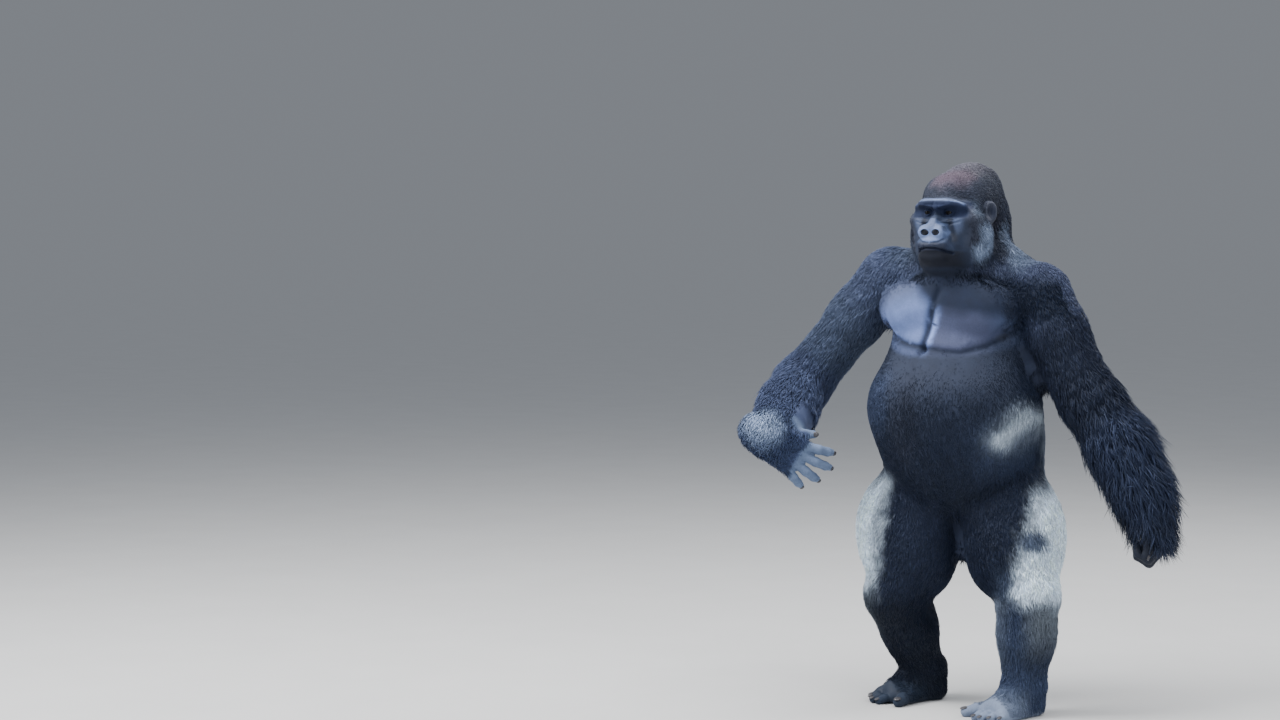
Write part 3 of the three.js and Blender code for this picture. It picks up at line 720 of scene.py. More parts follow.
def edit_all(operation, **settings):
    """Runs an edit-mode operator on the whole mesh of the active object."""
    bpy.ops.object.mode_set(mode="EDIT")
    bpy.ops.mesh.select_all(action="SELECT")
    operation(**settings)
    bpy.ops.object.mode_set(mode="OBJECT")


def apply_modifier(obj, kind, **settings):
    modifier = obj.modifiers.new(kind.title(), kind)
    for name, value in settings.items():
        setattr(modifier, name, value)
    only(obj)
    bpy.ops.object.modifier_apply(modifier=modifier.name)


def read_list(items, name, width=3, kind=np.float32):
    """One row of numbers from each item of a mesh's list."""
    values = np.empty(len(items) * width, kind)
    items.foreach_get(name, values)
    return values.reshape(-1, width)


def read_points(mesh):
    return from_row(read_list(mesh.vertices, "co").astype(float))


def write_points(mesh, points):
    mesh.vertices.foreach_set("co", to_row(points).astype(np.float32).ravel())
    mesh.update()


def read_normals(mesh):
    return read_list(mesh.vertices, "normal").astype(float)


# ------------------------------------------------------------------ the skin
SKIN_STEP = 5.0  # mm between the first skin's points
SKIN_LEFT = 0.33  # share of its faces that are left after thinning
CUT_CLOSER = 0.8  # mm that each solid swells, so that no cut shows
SAME_PLACE = 0.00001  # m between corners that are one
FINE_LEVELS = 4  # steps from ground that thins to ground that keeps its points


def join_flesh():
    """One object from copies of all the solids of flesh."""
    bpy.ops.object.select_all(action="DESELECT")
    copies = []
    for name in sorted(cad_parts):
        if name.startswith("eye_"):
            continue
        copy = show(bpy.data.objects.new("skin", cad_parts[name].data.copy()))
        copy.data.materials.clear()
        copy.select_set(True)
        copies.append(copy)
    bpy.context.view_layer.objects.active = copies[0]
    bpy.ops.object.join()
    skin = bpy.context.view_layer.objects.active
    skin.name = skin.data.name = "skin"
    edit_all(bpy.ops.mesh.remove_doubles, threshold=SAME_PLACE)
    return skin


def fineness(points):
    """1 where the skin shows small forms and keeps its points: head, hands and feet."""
    fine = smooth(HEAD.local(points)[:, 1], 10, -40) * smooth(points[:, 2], 1290, 1320)
    for s in SIDES:
        ear = HEAD.body(EAR[s])
        for centre, reach in ((HAND[s].body(vec(90, 0, 0)), 125),
                              (FOOT[s].body(vec(110, 0, 20)), 95), (ear, 50)):
            fine = np.maximum(fine, smooth(far_from(points, centre), reach + 15, reach - 15))
    return np.maximum(fine, 0.8 * bare_chest(points))


def subdivide_where(skin, mask):
    """Cuts in four the faces whose middles the mask picks."""
    mesh = skin.data
    chosen = mask(from_row(read_list(mesh.polygons, "center").astype(float)))
    mesh.vertices.foreach_set("select", np.zeros(len(mesh.vertices), bool))
    mesh.edges.foreach_set("select", np.zeros(len(mesh.edges), bool))
    mesh.polygons.foreach_set("select", chosen)
    only(skin)
    bpy.ops.object.mode_set(mode="EDIT")
    bpy.ops.mesh.select_mode(type="FACE")
    bpy.ops.mesh.subdivide(number_cuts=1)
    bpy.ops.object.mode_set(mode="OBJECT")
    edit_all(bpy.ops.mesh.quads_convert_to_tris)


def in_front_of_face(reach_out, low, high):
    """A mask of the face's front, by a reach to each side and two heights."""

    def mask(points):
        out, forward, up = head_view(points)[1:]
        return (forward > 85) & (out < reach_out) & (up > low) & (up < high)

    return mask


def relaxed(mesh, points, amount):
    """Each point drawn towards the middle of its neighbours."""
    a, b = read_list(mesh.edges, "vertices", 2, np.int32).T
    count = np.bincount(a, minlength=len(points)) + np.bincount(b, minlength=len(points))
    middle = np.stack([
        np.bincount(a, points[b, i], len(points)) + np.bincount(b, points[a, i], len(points))
        for i in range(3)
    ], axis=1) / count[:, None]
    return mix(points, middle, amount)


def make_skin():
    """The whole skin: joined, settled, made finer on the face and pressed into folds."""
    skin = join_flesh()
    apply_modifier(skin, "DISPLACE", strength=CUT_CLOSER * MM, mid_level=0)
    apply_modifier(skin, "REMESH", mode="VOXEL", voxel_size=SKIN_STEP * MM)
    group = skin.vertex_groups.new(name="thin")
    fine = fineness(read_points(skin.data))
    for level in range(FINE_LEVELS + 1):
        chosen = np.flatnonzero(np.round(fine * FINE_LEVELS) == level)
        group.add(chosen.tolist(), 1 - level / FINE_LEVELS, "REPLACE")
    apply_modifier(skin, "DECIMATE", ratio=SKIN_LEFT, vertex_group="thin",
                   vertex_group_factor=10)
    skin.vertex_groups.clear()
    points = settle(read_points(skin.data), 4, 14)
    for _ in range(3):
        points = settle(relaxed(skin.data, points, 0.7), 1, 6)
    write_points(skin.data, points)
    subdivide_where(skin, in_front_of_face(88, -168, 40))
    subdivide_where(skin, in_front_of_face(56, -84, 14))  # eyes and nose
    points = read_points(skin.data)
    head = points[:, 2] > 1290
    for _ in range(3):
        points[head] = settle(relaxed(skin.data, points, 0.5)[head], 1, 3)
    write_points(skin.data, points)
    points = press_folds(points, read_normals(skin.data))
    points[:, 2] = np.maximum(points[:, 2], 0)
    write_points(skin.data, points)
    only(skin)
    bpy.ops.object.shade_smooth()
    return skin


# ------------------------------------------------------------------ markings
def shade(red, green, blue):
    """A linear colour from a screen colour's three numbers, 0 to 255."""
    c = np.array([red, green, blue], float) / 255
    return np.where(c < 0.04045, c / 12.92, ((c + 0.055) / 1.055) ** 2.4)


SLATE = shade(46, 56, 80)  # back, sides and flanks; also the belly's right side as painted light
# painted light: the arms' coats in lit and shaded copies, the right arm lighter towards the lamps,
# the left in painted shade
UPPER_ARMS_LIT_AND_SHADED = {LEFT: shade(37, 44, 64), RIGHT: shade(73, 84, 108)}
# painted light: lit and shaded copies of the shoulders' coat, the right one lighter towards the
# lamps
SHOULDERS_LIT_AND_SHADED = {LEFT: shade(64, 72, 98), RIGHT: shade(73, 83, 111)}
FOREARMS_LIT_AND_SHADED = {LEFT: shade(31, 38, 57), RIGHT: shade(67, 77, 106)}
WRISTS_LIT_AND_SHADED = {LEFT: shade(22, 28, 43), RIGHT: shade(50, 62, 92)}
INK = shade(20, 29, 49)  # low belly; also painted shade in the chest's creases, the left armpit and the throat
INNER_THIGH = {LEFT: shade(26, 34, 54), RIGHT: shade(31, 39, 60)}
PAUNCH = shade(34, 41, 58)
CRUST = shade(36, 41, 56)  # brownish hair down the middle of the belly
RUST = shade(84, 72, 86)  # front of the crest
CREST = shade(82, 80, 92)  # its ridge
CHIN = shade(23, 31, 49)
ASH = shade(44, 49, 64)  # sides and back of the head
MIST = shade(146, 164, 194)  # edge of the cheeks, sides of the neck; also painted highlights on the right wrist and round the left flank's sheen
SILVER = shade(222, 239, 255)  # thighs and saddle; also painted highlights on the left flank and the left shank's inner side
STEEL = shade(60, 71, 93)
SHIN = {LEFT: shade(42, 51, 72), RIGHT: shade(17, 25, 42)}
BARE_FACE = shade(33, 42, 62)
BARE_MUZZLE = shade(48, 61, 88)
BARE_LIPS = shade(12, 18, 33)
UPPER_LIP = shade(26, 34, 54)
# the nose's paler skin and painted highlight: nose pad, brow ridge, cheeks and nostril rims
NOSE_SKIN_AND_HIGHLIGHT = shade(96, 113, 152)
# dark skin round the eyes and in the ears, and painted shade in the eye sockets, nostrils and
# mouth's seam
DARK_SKIN_AND_SHADE = shade(15, 24, 46)
# lit and shaded copies of the bare breast: the right one lighter towards the lamps, the left in
# painted shade
RIGHT_BREAST_LIT = shade(94, 111, 158)
LEFT_BREAST_SHADED = shade(64, 70, 96)
# the right hand's fingers lighter as painted highlight, the left hand darker as painted shade
BARE_HANDS_LIT_AND_SHADED = {LEFT: shade(20, 26, 40), RIGHT: shade(94, 110, 138)}
BARE_FOOT = {LEFT: shade(108, 120, 142), RIGHT: shade(30, 40, 56)}
NAIL = (0.05, 0.048, 0.055, 1)


def blob(points, centre, radii, soft=0.35):
    """1 inside an ellipsoid, 0 outside it, with a soft rim."""
    q = (points - centre) / radii
    return smooth(np.sqrt(dot(q, q)), 1 + soft, 1 - soft)


def paint(colours, colour, mask):
    """Lays a colour over others, in place, where a mask says."""
    colours += (colour - colours) * np.clip(mask, 0, 1)[:, None]


def waves(points, scale, seed):
    """A smooth random value from -1 to 1 over space, as a sum of waves."""
    rng = np.random.default_rng(seed)
    total = np.zeros(len(points))
    for _ in range(6):
        way = unit(rng.normal(size=3)) * rng.uniform(0.6, 1.5) * 2 * math.pi / scale
        total += np.sin(points @ way + rng.uniform(0, 2 * math.pi))
    return total / 6 * 1.6


def facing_side(points, a, b, way, low, high):
    """1 where a limb's surface faces a way, by its place round the bone."""
    axis = unit(b - a)
    away = points - a
    away = away - (away @ axis)[:, None] * axis
    way = unit(way - (way @ axis) * axis)
    return smooth((away @ way) / np.maximum(np.sqrt(dot(away, away)), 1), low, high)


def mark_trunk(points, colours, ragged):
    x, y, z = points.T
    front = smooth(y + 14 * ragged, 40, -50)
    # the shoulders lighter than the back: partly their own paler hair, partly painted top light
    top = np.where((x > 0)[:, None], SHOULDERS_LIT_AND_SHADED[LEFT], SHOULDERS_LIT_AND_SHADED[RIGHT])
    paint(colours, top, smooth(z + 12 * ragged, 1210, 1300) * smooth(z, 1390, 1340))
    paint(colours, PAUNCH, smooth(z, 1120, 1080) * front)
    # painted light: the belly's right side, towards the lamps, in the lighter slate
    lit_right_flank = smooth(x + 24 * ragged, -90, -170) * smooth(np.abs(z - 900), 160, 70)
    paint(colours, SLATE, lit_right_flank * front)
    middle = smooth(z + 24 * ragged, 1030, 900) * smooth(x, -190, -60)
    paint(colours, INK * 0.7 + PAUNCH * 0.3, middle * front)
    paint(colours, INK, smooth(z + 24 * ragged, 900, 780) * front)
    left_flank = smooth(x + 30 * ragged, 70, 190) * smooth(np.abs(z - 790), 120, 40)
    paint(colours, SLATE, left_flank * front * 0.8)
    crust = smooth(np.abs(x + 65 + 40 * ragged), 80, 10)
    crust *= smooth(np.abs(z - 870 + 30 * ragged), 150, 60)
    paint(colours, CRUST, crust * front * 0.5)
    saddle = smooth(y + 30 * ragged, -10, 120) * smooth(z + 70 * ragged, 1240, 960)
    silver = mix(SILVER * 0.55, STEEL * 1.3, smooth(z + 60 * ragged, 820, 1160)[:, None])
    paint(colours, silver, saddle * smooth(z, 540, 640))
    # painted highlight on the left flank: a soft halo and a bright core along a line
    sheen = along_path(points[:, [0, 2]], [(260, 908), (240, 874), (206, 824)]) + 6 * ragged
    paint(colours, MIST * 0.4, smooth(sheen, 80, 0) * front * 0.4)
    paint(colours, SILVER * 0.75, np.exp(-((sheen / 22) ** 2)) * front * 0.8)
    # painted shade in the left armpit, under the arm
    paint(colours, INK, blob(points, vec(250, -60, 1010), (45, 90, 90), 0.6) * 0.8)


def mark_arm(points, colours, ragged, s):
    x = points[:, 0]
    t, near = place_between(points, SHOULDER[s], ELBOW[s])
    arm = smooth(near, 150, 105) * smooth(s * x, 215, 260)
    down_arm = smooth(t + 0.1 * ragged, 0.05, 0.4)[:, None]
    paint(colours, mix(SHOULDERS_LIT_AND_SHADED[s], UPPER_ARMS_LIT_AND_SHADED[s], down_arm), arm)
    paint(colours, FOREARMS_LIT_AND_SHADED[s], arm * smooth(t, 0.5, 1))
    t, near = place_between(points, ELBOW[s], WRIST[s])
    on_forearm = smooth(near, 165, 125) * smooth(s * x, 300, 340)
    paint(colours, mix(FOREARMS_LIT_AND_SHADED[s], WRISTS_LIT_AND_SHADED[s], smooth(t, 0.6, 1)[:, None]), on_forearm)
    if s == LEFT:
        # painted highlight down the outer side of the left forearm
        outer = facing_side(points, ELBOW[s], WRIST[s], vec(0.8, -1, 0.2), 0.1, 0.9)
        lit = outer * smooth(t, 1.15, 0.9) * smooth(t, 0, 0.25)
        paint(colours, FOREARMS_LIT_AND_SHADED[s] * 2, on_forearm * lit * 0.8)


def mark_leg(points, colours, ragged, s):
    x, y, z = points.T
    near = place_between(points, HIP[s], KNEE[s])[1]
    leg = smooth(near, 215, 175) * smooth(s * x, -10, 20) * smooth(z + 20 * ragged, 745, 640)
    paint(colours, INNER_THIGH[s], leg * smooth(y, 120, 40))
    if s == LEFT:
        paint(colours, STEEL, leg * smooth(z + 16 * ragged, 490, 400) * smooth(x, 150, 220))
    edge = 200 - 30 * smooth(z, 620, 700) if s == RIGHT else 262 + 22 * smooth(z, 430, 570)
    edge = edge - 140 * smooth(y, -40, 90)
    low, lower = (430, 300) if s == RIGHT else (420, 240)
    silver = smooth(s * x + 24 * ragged, edge - 44, edge + 34)
    silver *= smooth(z + 20 * ragged, lower, low)
    paint(colours, SILVER, leg * silver)
    near = place_between(points, KNEE[s], ANKLE[s])[1]
    shin = smooth(near, 140, 100) * smooth(z + 16 * ragged, 390, 310) * smooth(s * x, 0, 20)
    paint(colours, SHIN[s], shin)
    if s == LEFT:
        # painted light on the left shank's inner side, which faces the lamps
        inner = facing_side(points, KNEE[s], ANKLE[s], vec(-1, -0.3, 0), 0.3, 0.95)
        paint(colours, SILVER * 0.5, shin * inner * 0.75)
        shin_bone = facing_side(points, KNEE[s], ANKLE[s], vec(-0.4, -1, 0), 0.4, 0.97)
        paint(colours, SHIN[s] * 1.8, shin * shin_bone * 0.8)
        paint(colours, SHIN[s] * 1.9, shin * smooth(z, 200, 110))
    outer = facing_side(points, KNEE[s], ANKLE[s], vec(s, -0.2, 0), 0.2, 0.95)
    paint(colours, SILVER * 0.3, shin * outer * smooth(z, 150, 330) * (0.45 + 0.2 * s))


def mark_knee(points, colours, ragged):
    """The white knee of the standing leg, with a dark bar over it."""
    bar, knee = vec(298, -152, 537), vec(312, -156, 446)
    paint(colours, SILVER, blob(points, knee, (46, 80, 60), 0.7))
    shape = blob(points + 6 * ragged[:, None], bar, (42, 60, 28), 0.5)
    paint(colours, STEEL * 1.2, shape * 0.95)


def mark_head(points, colours, ragged):
    h, out, forward, up = head_view(points)
    x, _, z = points.T
    on_head = smooth(z + 24 * ragged, 1290, 1410) * smooth(np.abs(x - 13), 200, 150)
    paint(colours, ASH, on_head)
    crest = smooth(up + 14 * ragged, 52, 96) * smooth(out + 10 * ragged, 80, 40)
    paint(colours, CREST, on_head * crest * smooth(forward, -190, -60))
    rust = crest * smooth(forward + 20 * ragged, -30, 30)
    paint(colours, RUST, on_head * rust)
    forehead = smooth(forward, 84, 116) * smooth(up, 38, 50) * smooth(up + 10 * ragged, 82, 62)
    paint(colours, ASH * 0.6, on_head * forehead * 0.8)
    shadow = blob(h, face(34, 84, 72), (34, 40, 20), 0.9) * 0.4
    paint(colours, ASH, shadow)
    temple = smooth(np.abs(out - 88), 30, 8) * smooth(np.abs(forward - 78), 40, 10)
    paint(colours, MIST * 0.4, temple * smooth(np.abs(up), 50, 14) * 0.6)
    for s in SIDES:
        cheek = head_path((s * 116, 52, -66), (s * 116, 50, -94), (s * 106, 72, -122))
        whisker = smooth(along_path(points, cheek) + 16 * ragged, 50, 0)
        paint(colours, MIST, whisker * (0.5 + 0.3 * s))
        neck = head_path((s * 132, -104, -70), (s * 152, -86, -110), (s * 190, -36, -148))
        mane = smooth(along_path(points, neck) + 24 * ragged, 56, 0)
        paint(colours, MIST * 0.7, mane * (0.45 + 0.2 * s))
        behind_ear = blob(h, face(s * 106, -40, -16), (34, 44, 34), 0.8)
        paint(colours, mix(RUST, ASH, 0.5) * 0.7, behind_ear * 0.4)
    chin = smooth(up, -146, -168) * smooth(up, -230, -205)
    chin *= smooth(forward, 70, 110) * smooth(out, 100, 60)
    paint(colours, CHIN, chin)
    # the throat darker: its own dark hair and painted shadow under the chin
    throat = smooth(up, -168, -190) * smooth(forward, 0, 50) * smooth(z, 1200, 1250)
    paint(colours, INK * 0.5, throat * smooth(out, 130, 90))


NOSE_WIDTHS = ((-92, 0), (-87, 24), (-79, 38), (-62, 42), (-46, 32), (-30, 15), (-22, 6))


def mark_face(points, colours):
    h, out, forward, up = head_view(points)
    bare = bareness(points) * smooth(points[:, 2], 1312, 1324)
    paint(colours, BARE_FACE, bare)
    for s in SIDES:
        ear = blob(h, EAR[s], (40, 40, 44), 0.3)
        paint(colours, ASH, ear * bare)
        paint(colours, DARK_SKIN_AND_SHADE, bare * blob(h, face(s * 122, 20, -3), (13, 12, 18)))
        # painted highlight on each cheek under the eye
        cheek = blob(h, face(s * 60, 146, -40), (16, 40, 24), 0.6)
        paint(colours, NOSE_SKIN_AND_HIGHLIGHT * 0.5, bare * cheek * 0.8)
    muzzle = smooth(out, 62, 40) * smooth(up, -124, -112) * smooth(up, -20, -50)
    paint(colours, BARE_MUZZLE, bare * muzzle)
    upper_lip = smooth(up, -88, -98) * smooth(out, 60, 40)
    paint(colours, UPPER_LIP, bare * upper_lip)
    lips = smooth(up + 0.12 * out, -106, -116) * smooth(out, 96, 56)
    paint(colours, BARE_LIPS * 0.8, bare * lips)
    for s in SIDES:
        # painted shade in the folds down the cheeks
        line = [(s * 42, -30), (s * 48, -58), (s * 54, -86)]
        fold = smooth(along_path(h[:, [0, 2]], line), 14, 3)
        paint(colours, BARE_LIPS, bare * fold * 0.7)
    # the nose pad: the nose's paler skin with a painted highlight on it, darker towards the bridge
    heights, widths = np.array(NOSE_WIDTHS, float).T
    pad = smooth(out - np.interp(up, heights, widths), 5, -5) * smooth(forward, 130, 150)
    nose = mix(NOSE_SKIN_AND_HIGHLIGHT, NOSE_SKIN_AND_HIGHLIGHT * 0.55, smooth(up, -64, -30)[:, None])
    paint(colours, nose, bare * pad * (up > -96) * (up < -22))
    # dark skin round the eyes and painted shade in the sockets under the brow, as one band
    floor = -20 + 15 * np.exp(-((out / 13) ** 2))
    eye_band_skin_and_shade = smooth(up, floor - 4, floor + 4) * smooth(up, 31, 24) * smooth(out, 90, 80)
    paint(colours, DARK_SKIN_AND_SHADE * 1.5, bare * eye_band_skin_and_shade)
    # painted highlight along the top of the brow ridge
    line = mirrored([(0, 37), (22, 37), (46, 34), (64, 28), (76, 19)])
    brow = smooth(along_path(h[:, [0, 2]], line) / (1 - 0.5 * smooth(out, 30, 76)), 8.5, 2)
    brow *= smooth(out, 84, 56) * smooth(forward + 0.6 * out, 130, 140)
    paint(colours, NOSE_SKIN_AND_HIGHLIGHT * 1.15, bare * brow * 0.95)
    # painted highlight on the nostrils' rims, painted shade inside them
    ring = np.hypot((out - 17) / 10, (up + 63) / 7.8)
    before = smooth(forward, 110, 130) * bare
    paint(colours, NOSE_SKIN_AND_HIGHLIGHT * 1.15, before * smooth(ring, 1.7, 1.35))
    paint(colours, DARK_SKIN_AND_SHADE * 0.3, before * smooth(ring, 1.32, 1.14))
    # painted shade in the mouth's seam
    mouth = along_path(h[:, [0, 2]], face_folds()[0][0])
    paint(colours, DARK_SKIN_AND_SHADE, bare * smooth(mouth, 6, 2) * smooth(forward, 110, 130))


def mark_chest(points, colours, ragged):
    x, _, z = points.T
    bare = bare_chest(points)
    # the left breast's skin in painted shade, turning into the coat outward; then the right breast's
    # lit skin, darker towards the top
    left_tone = mix(LEFT_BREAST_SHADED, SLATE * 1.6, smooth(x + 10 * ragged, 130, 220)[:, None])
    paint(colours, left_tone, bare)
    across = x - breastbone(z)
    breast = mix(RIGHT_BREAST_LIT, SHOULDERS_LIT_AND_SHADED[RIGHT] * 0.8, smooth(z - 0.3 * x, 1220, 1320)[:, None])
    paint(colours, breast, bare * smooth(across, 6, -10))
    # painted shade in the breastbone's groove
    paint(colours, INK, bare * np.exp(-(((across + 8) / 11) ** 2)) * 0.6)
    # painted highlight along the right edge of the breastbone
    streak = np.exp(-(((across - 15) / 10) ** 2)) * smooth(z, 1240, 1195)
    paint(colours, RIGHT_BREAST_LIT * 1.6, bare * streak)
    paint(colours, INK, throat_shadow(points))
    under = np.interp(x, (-186, -172, -107, -39, 23, 83, 143, 205),
                      (1160, 1122, 1104, 1094, 1085, 1080, 1099, 1156))
    paint(colours, PAUNCH * 1.1, bare * smooth(z, under + 7, under - 3))
    # painted shade in the creases under the breasts, down the breastbone and by the left arm
    lines = [path for path, *_ in trunk_folds()]
    creases = [along_path(points[:, [0, 2]], lines[i]) for i in (0, 1, 2, 4)]
    paint(colours, INK, bare * smooth(np.min(creases, axis=0), 14, 2) * 0.8)


def markings(points):
    """The animal's colours, for skin and coat alike, laid from the whole body to its details, with
    painted light and shade laid in among them.
    """
    ragged = waves(points, 90, 3) * 0.5 + waves(points, 35, 4) * 0.5
    colours = np.tile(SLATE, (len(points), 1))
    mark_trunk(points, colours, ragged)
    for s in SIDES:
        mark_arm(points, colours, ragged, s)
        mark_leg(points, colours, ragged, s)
    mark_knee(points, colours, ragged)
    # painted highlight on the top of the right wrist
    wrist_highlight = blob(points + 8 * ragged[:, None], vec(-486, -372, 868), (58, 50, 58), 0.7)
    paint(colours, MIST, wrist_highlight * 0.95)
    mark_head(points, colours, ragged)
    mark_chest(points, colours, ragged)
    mark_face(points, colours)
    bare = bareness(points)
    for s in SIDES:
        reach = place_between(points, WRIST[s], HAND[s].body(vec(190, 0, 0)))[1]
        palm = bare * smooth(reach, 110, 90) * smooth(s * points[:, 0], 300, 320)
        paint(colours, BARE_HANDS_LIT_AND_SHADED[s], palm)
        foot = smooth(points[:, 2], 100 + 16 * s, 56) * (s * points[:, 0] > 0)
        ahead = smooth(FOOT[s].local(points)[:, 0], 10, 60)
        paint(colours, BARE_FOOT[s], foot * np.maximum(bare, 0.8 * ahead))
    return colours


def gloss(points):
    """How glossy the skin is: none under the coat and in hollows, most on nose and chest."""
    h, _, forward, up = head_view(points)
    shine = bareness(points) * (0.5 - 0.35 * thin_belly(points))
    shine = np.maximum(shine, 0.7 * blob(h, face(0, 195, -62), (44, 40, 32)))
    shine = np.maximum(shine, 0.7 * bare_chest(points)) * (1 - 0.9 * throat_shadow(points))
    for s in SIDES:
        shine = shine * (1 - blob(h, face(s * 17, 205, -63), (13, 26, 10.5), 0.3))
    sockets = smooth(up, -24, -16) * smooth(up, 32, 26) * smooth(forward, 90, 120)
    lower_lip = smooth(up, -104, -118) * smooth(forward, 40, 80)
    return shine * (1 - np.maximum(sockets, 0.85 * lower_lip))


# ------------------------------------------------------------------ the coat grows
RINGS = (0.0, 0.5)  # how far along a lock its rings are, before its tip
RING_WIDTHS = (1.0, 0.8)
ROOT_DEPTH = 2.0  # mm that a lock's root lies under the skin
DROOP = 0.4
LOCK_SHADE = (0.6, 0.95, 1.2)  # a lock's colour at its root, middle and tip: painted shade deep in the coat at the root, lighter towards the tip
PATCH = 0.003  # across a lock on the unwrap
FLOOR_ROOM = 1.0  # mm between the floor and the lowest hair
STRAY = 0.22  # how far the lie wanders from its plan
CLUMPS = 0.25  # share by which clumps of hair are longer or shorter
HALVED = ("coat_back", "coat_belly")  # pieces that are parted into left and right
LOCK_FACES = [[0, 2, 1]]
for i, j in ((0, 1), (1, 2), (2, 0)):
    LOCK_FACES += [[i, j, j + 3], [i, j + 3, i + 3], [i + 3, j + 3, 6]]
LOCK_POINTS = 7
LOCK_PATCH = [[0, 0], [1, 0], [0.5, 0.2], [0, 0.6], [1, 0.6], [0.5, 0.8], [0.5, 1]]


def write_mesh(name, points, triangles):
    mesh = bpy.data.meshes.new(name)
    mesh.vertices.add(len(points))
    mesh.loops.add(triangles.size)
    mesh.polygons.add(len(triangles))
    mesh.loops.foreach_set("vertex_index", triangles.ravel().astype(np.int32))
    mesh.polygons.foreach_set("loop_start", np.arange(0, triangles.size, 3, dtype=np.int32))
    mesh.polygons.foreach_set("use_smooth", np.ones(len(triangles), bool))
    write_points(mesh, points)
    mesh.update(calc_edges=True)
    return show(bpy.data.objects.new(name, mesh))


def write_colours(mesh, colours):
    layer = mesh.color_attributes.new("markings", "FLOAT_COLOR", "POINT")
    with_alpha = np.ones((len(colours), 4), np.float32)
    with_alpha[:, :3] = np.clip(colours, 0, 1)
    layer.data.foreach_set("color", with_alpha.ravel())


def unwrap(points, at, says, parts):
    """Each point's place on a cylinder round the bone that it is nearest, side by side."""
    nearest = says.argmax(0)
    cell = np.zeros((len(points), 2))
    for k, part in enumerate(parts):
        region = COAT[part]
        here = nearest == part
        axis = unit(region.b - region.a)
        across = unit(np.cross(axis, vec(0.3, 1, 0.2)))
        away = points[here] - region.a
        turn = np.arctan2(away @ np.cross(axis, across), away @ across) / (2 * math.pi) + 0.5
        column = (k + 0.02 + 0.96 * turn) / len(parts)
        cell[here] = np.stack([column, 0.02 + 0.96 * at[part, here]], axis=1)
    return cell


class Ground:
    """The skin's triangles, as the ground that the coat grows from."""

    def __init__(self, skin):
        mesh = skin.data
        self.points = read_points(mesh)
        self.normals = read_normals(mesh)
        mesh.calc_loop_triangles()
        self.corners = read_list(mesh.loop_triangles, "vertices", 3, np.int32)
        a, b, c = (self.points[self.corners[:, i]] for i in range(3))
        self.area = np.linalg.norm(np.cross(b - a, c - a), axis=1) / 2
        middles = (a + b + c) / 3
        self.side = np.where(middles[:, 0] > 0, LEFT, RIGHT)
        self.says = shares(middles)[1]
        self.hairy = 1 - bareness(middles)

    def sow(self, parts, rng, side):
        """Roots spread over the ground of some regions, as close as each region says."""
        says = self.says[parts]
        spacing = np.array([COAT[part].spacing for part in parts])
        weight = self.area * self.hairy * (says / spacing[:, None] ** 2).sum(0)
        if side:
            weight = weight * (self.side == side)
        total = np.cumsum(weight)
        count = int(total[-1])
        picks = np.searchsorted(total, (np.arange(count) + rng.random(count)) / count * total[-1])
        u, v = rng.random((2, count))
        folded = u + v > 1
        u[folded], v[folded] = 1 - u[folded], 1 - v[folded]
        weights = np.stack([1 - u - v, u, v], axis=1)[:, :, None]
        corners = self.corners[picks]
        roots = (self.points[corners] * weights).sum(1)
        return roots, unit((self.normals[corners] * weights).sum(1))


def grow_piece(piece, ground, seed, side=None):
    """One piece of the coat, or its half on one side: a closed, tapered lock from each root."""
    rng = np.random.default_rng(seed)
    parts = [i for i, region in enumerate(COAT) if region.piece == piece]
    roots, normals = ground.sow(parts, rng, side)
    count = len(roots)
    at, says = shares(roots)
    lie = (says[:, :, None] * np.array([region.lie for region in COAT])[:, None, :]).sum(0)
    stray = np.stack([waves(roots, 60, 10 + i) for i in range(3)], axis=1) * STRAY
    lift = from_plan("lift", at, says)
    lie = unit(lie) + stray + rng.normal(size=(count, 3)) * (0.04 + 0.5 * lift[:, None])
    lie = unit(lie - dot(lie, normals)[:, None] * normals)
    clump = 1 + CLUMPS * waves(roots, 28, 21)
    length = from_plan("length", at, says) * clump * rng.uniform(0.75, 1.2, count)
    length *= 1 - 0.5 * bareness(roots)
    lift = lift * rng.uniform(0.5, 1.4, count)
    width = from_plan("width", at, says) * rng.uniform(0.75, 1.25, count)
    across = np.cross(lie, normals)
    stages = []
    for s in RINGS + (1.0,):
        height = length * lift * (s - DROOP * s * s)
        spine = roots + lie * (length * s)[:, None] + normals * height[:, None]
        if s:
            spine = settle(spine, 1, 14, height)
        else:
            spine = spine - normals * ROOT_DEPTH
        stages.append(spine)
    spots = []
    for spine, share in zip(stages, RING_WIDTHS):
        half = (width * share / 2)[:, None]
        spots += [spine - across * half, spine + across * half, spine + normals * half * 0.8]
    spots.append(stages[-1])
    points = np.stack(spots, axis=1).reshape(-1, 3)
    points[:, 2] = np.maximum(points[:, 2], FLOOR_ROOM)
    first = np.arange(count)[:, None, None] * LOCK_POINTS
    triangles = (first + np.array(LOCK_FACES)).reshape(-1, 3)
    obj = write_mesh(f"{piece}_{SIDE_NAME[side]}" if side else piece, points, triangles)
    tone = np.repeat(np.array(LOCK_SHADE), (3, 3, 1))
    own = markings(roots) * rng.uniform(0.8, 1.2, (count, 1))
    shading = tone[None, :] ** np.clip(1 - own.mean(1) - 0.8 * bareness(roots), 0.1, 1)[:, None]
    write_colours(obj.data, (own[:, None, :] * shading[:, :, None]).reshape(-1, 3))
    places = unwrap(roots, at, says, parts)[:, None, :] + (np.array(LOCK_PATCH) - 0.5) * PATCH
    corners = places.reshape(-1, 2)[triangles.ravel()]
    layer = obj.data.uv_layers.new(name="OFBake")
    layer.data.foreach_set("uv", corners.astype(np.float32).ravel())
    return obj


def grow_coat(skin):
    ground = Ground(skin)
    pieces = sorted({region.piece for region in COAT if region.piece != "muzzle"})
    grown = []
    for piece in pieces:
        for side in SIDES if piece in HALVED else (None,):
            grown.append(grow_piece(piece, ground, 100 + len(grown), side))
    return grown


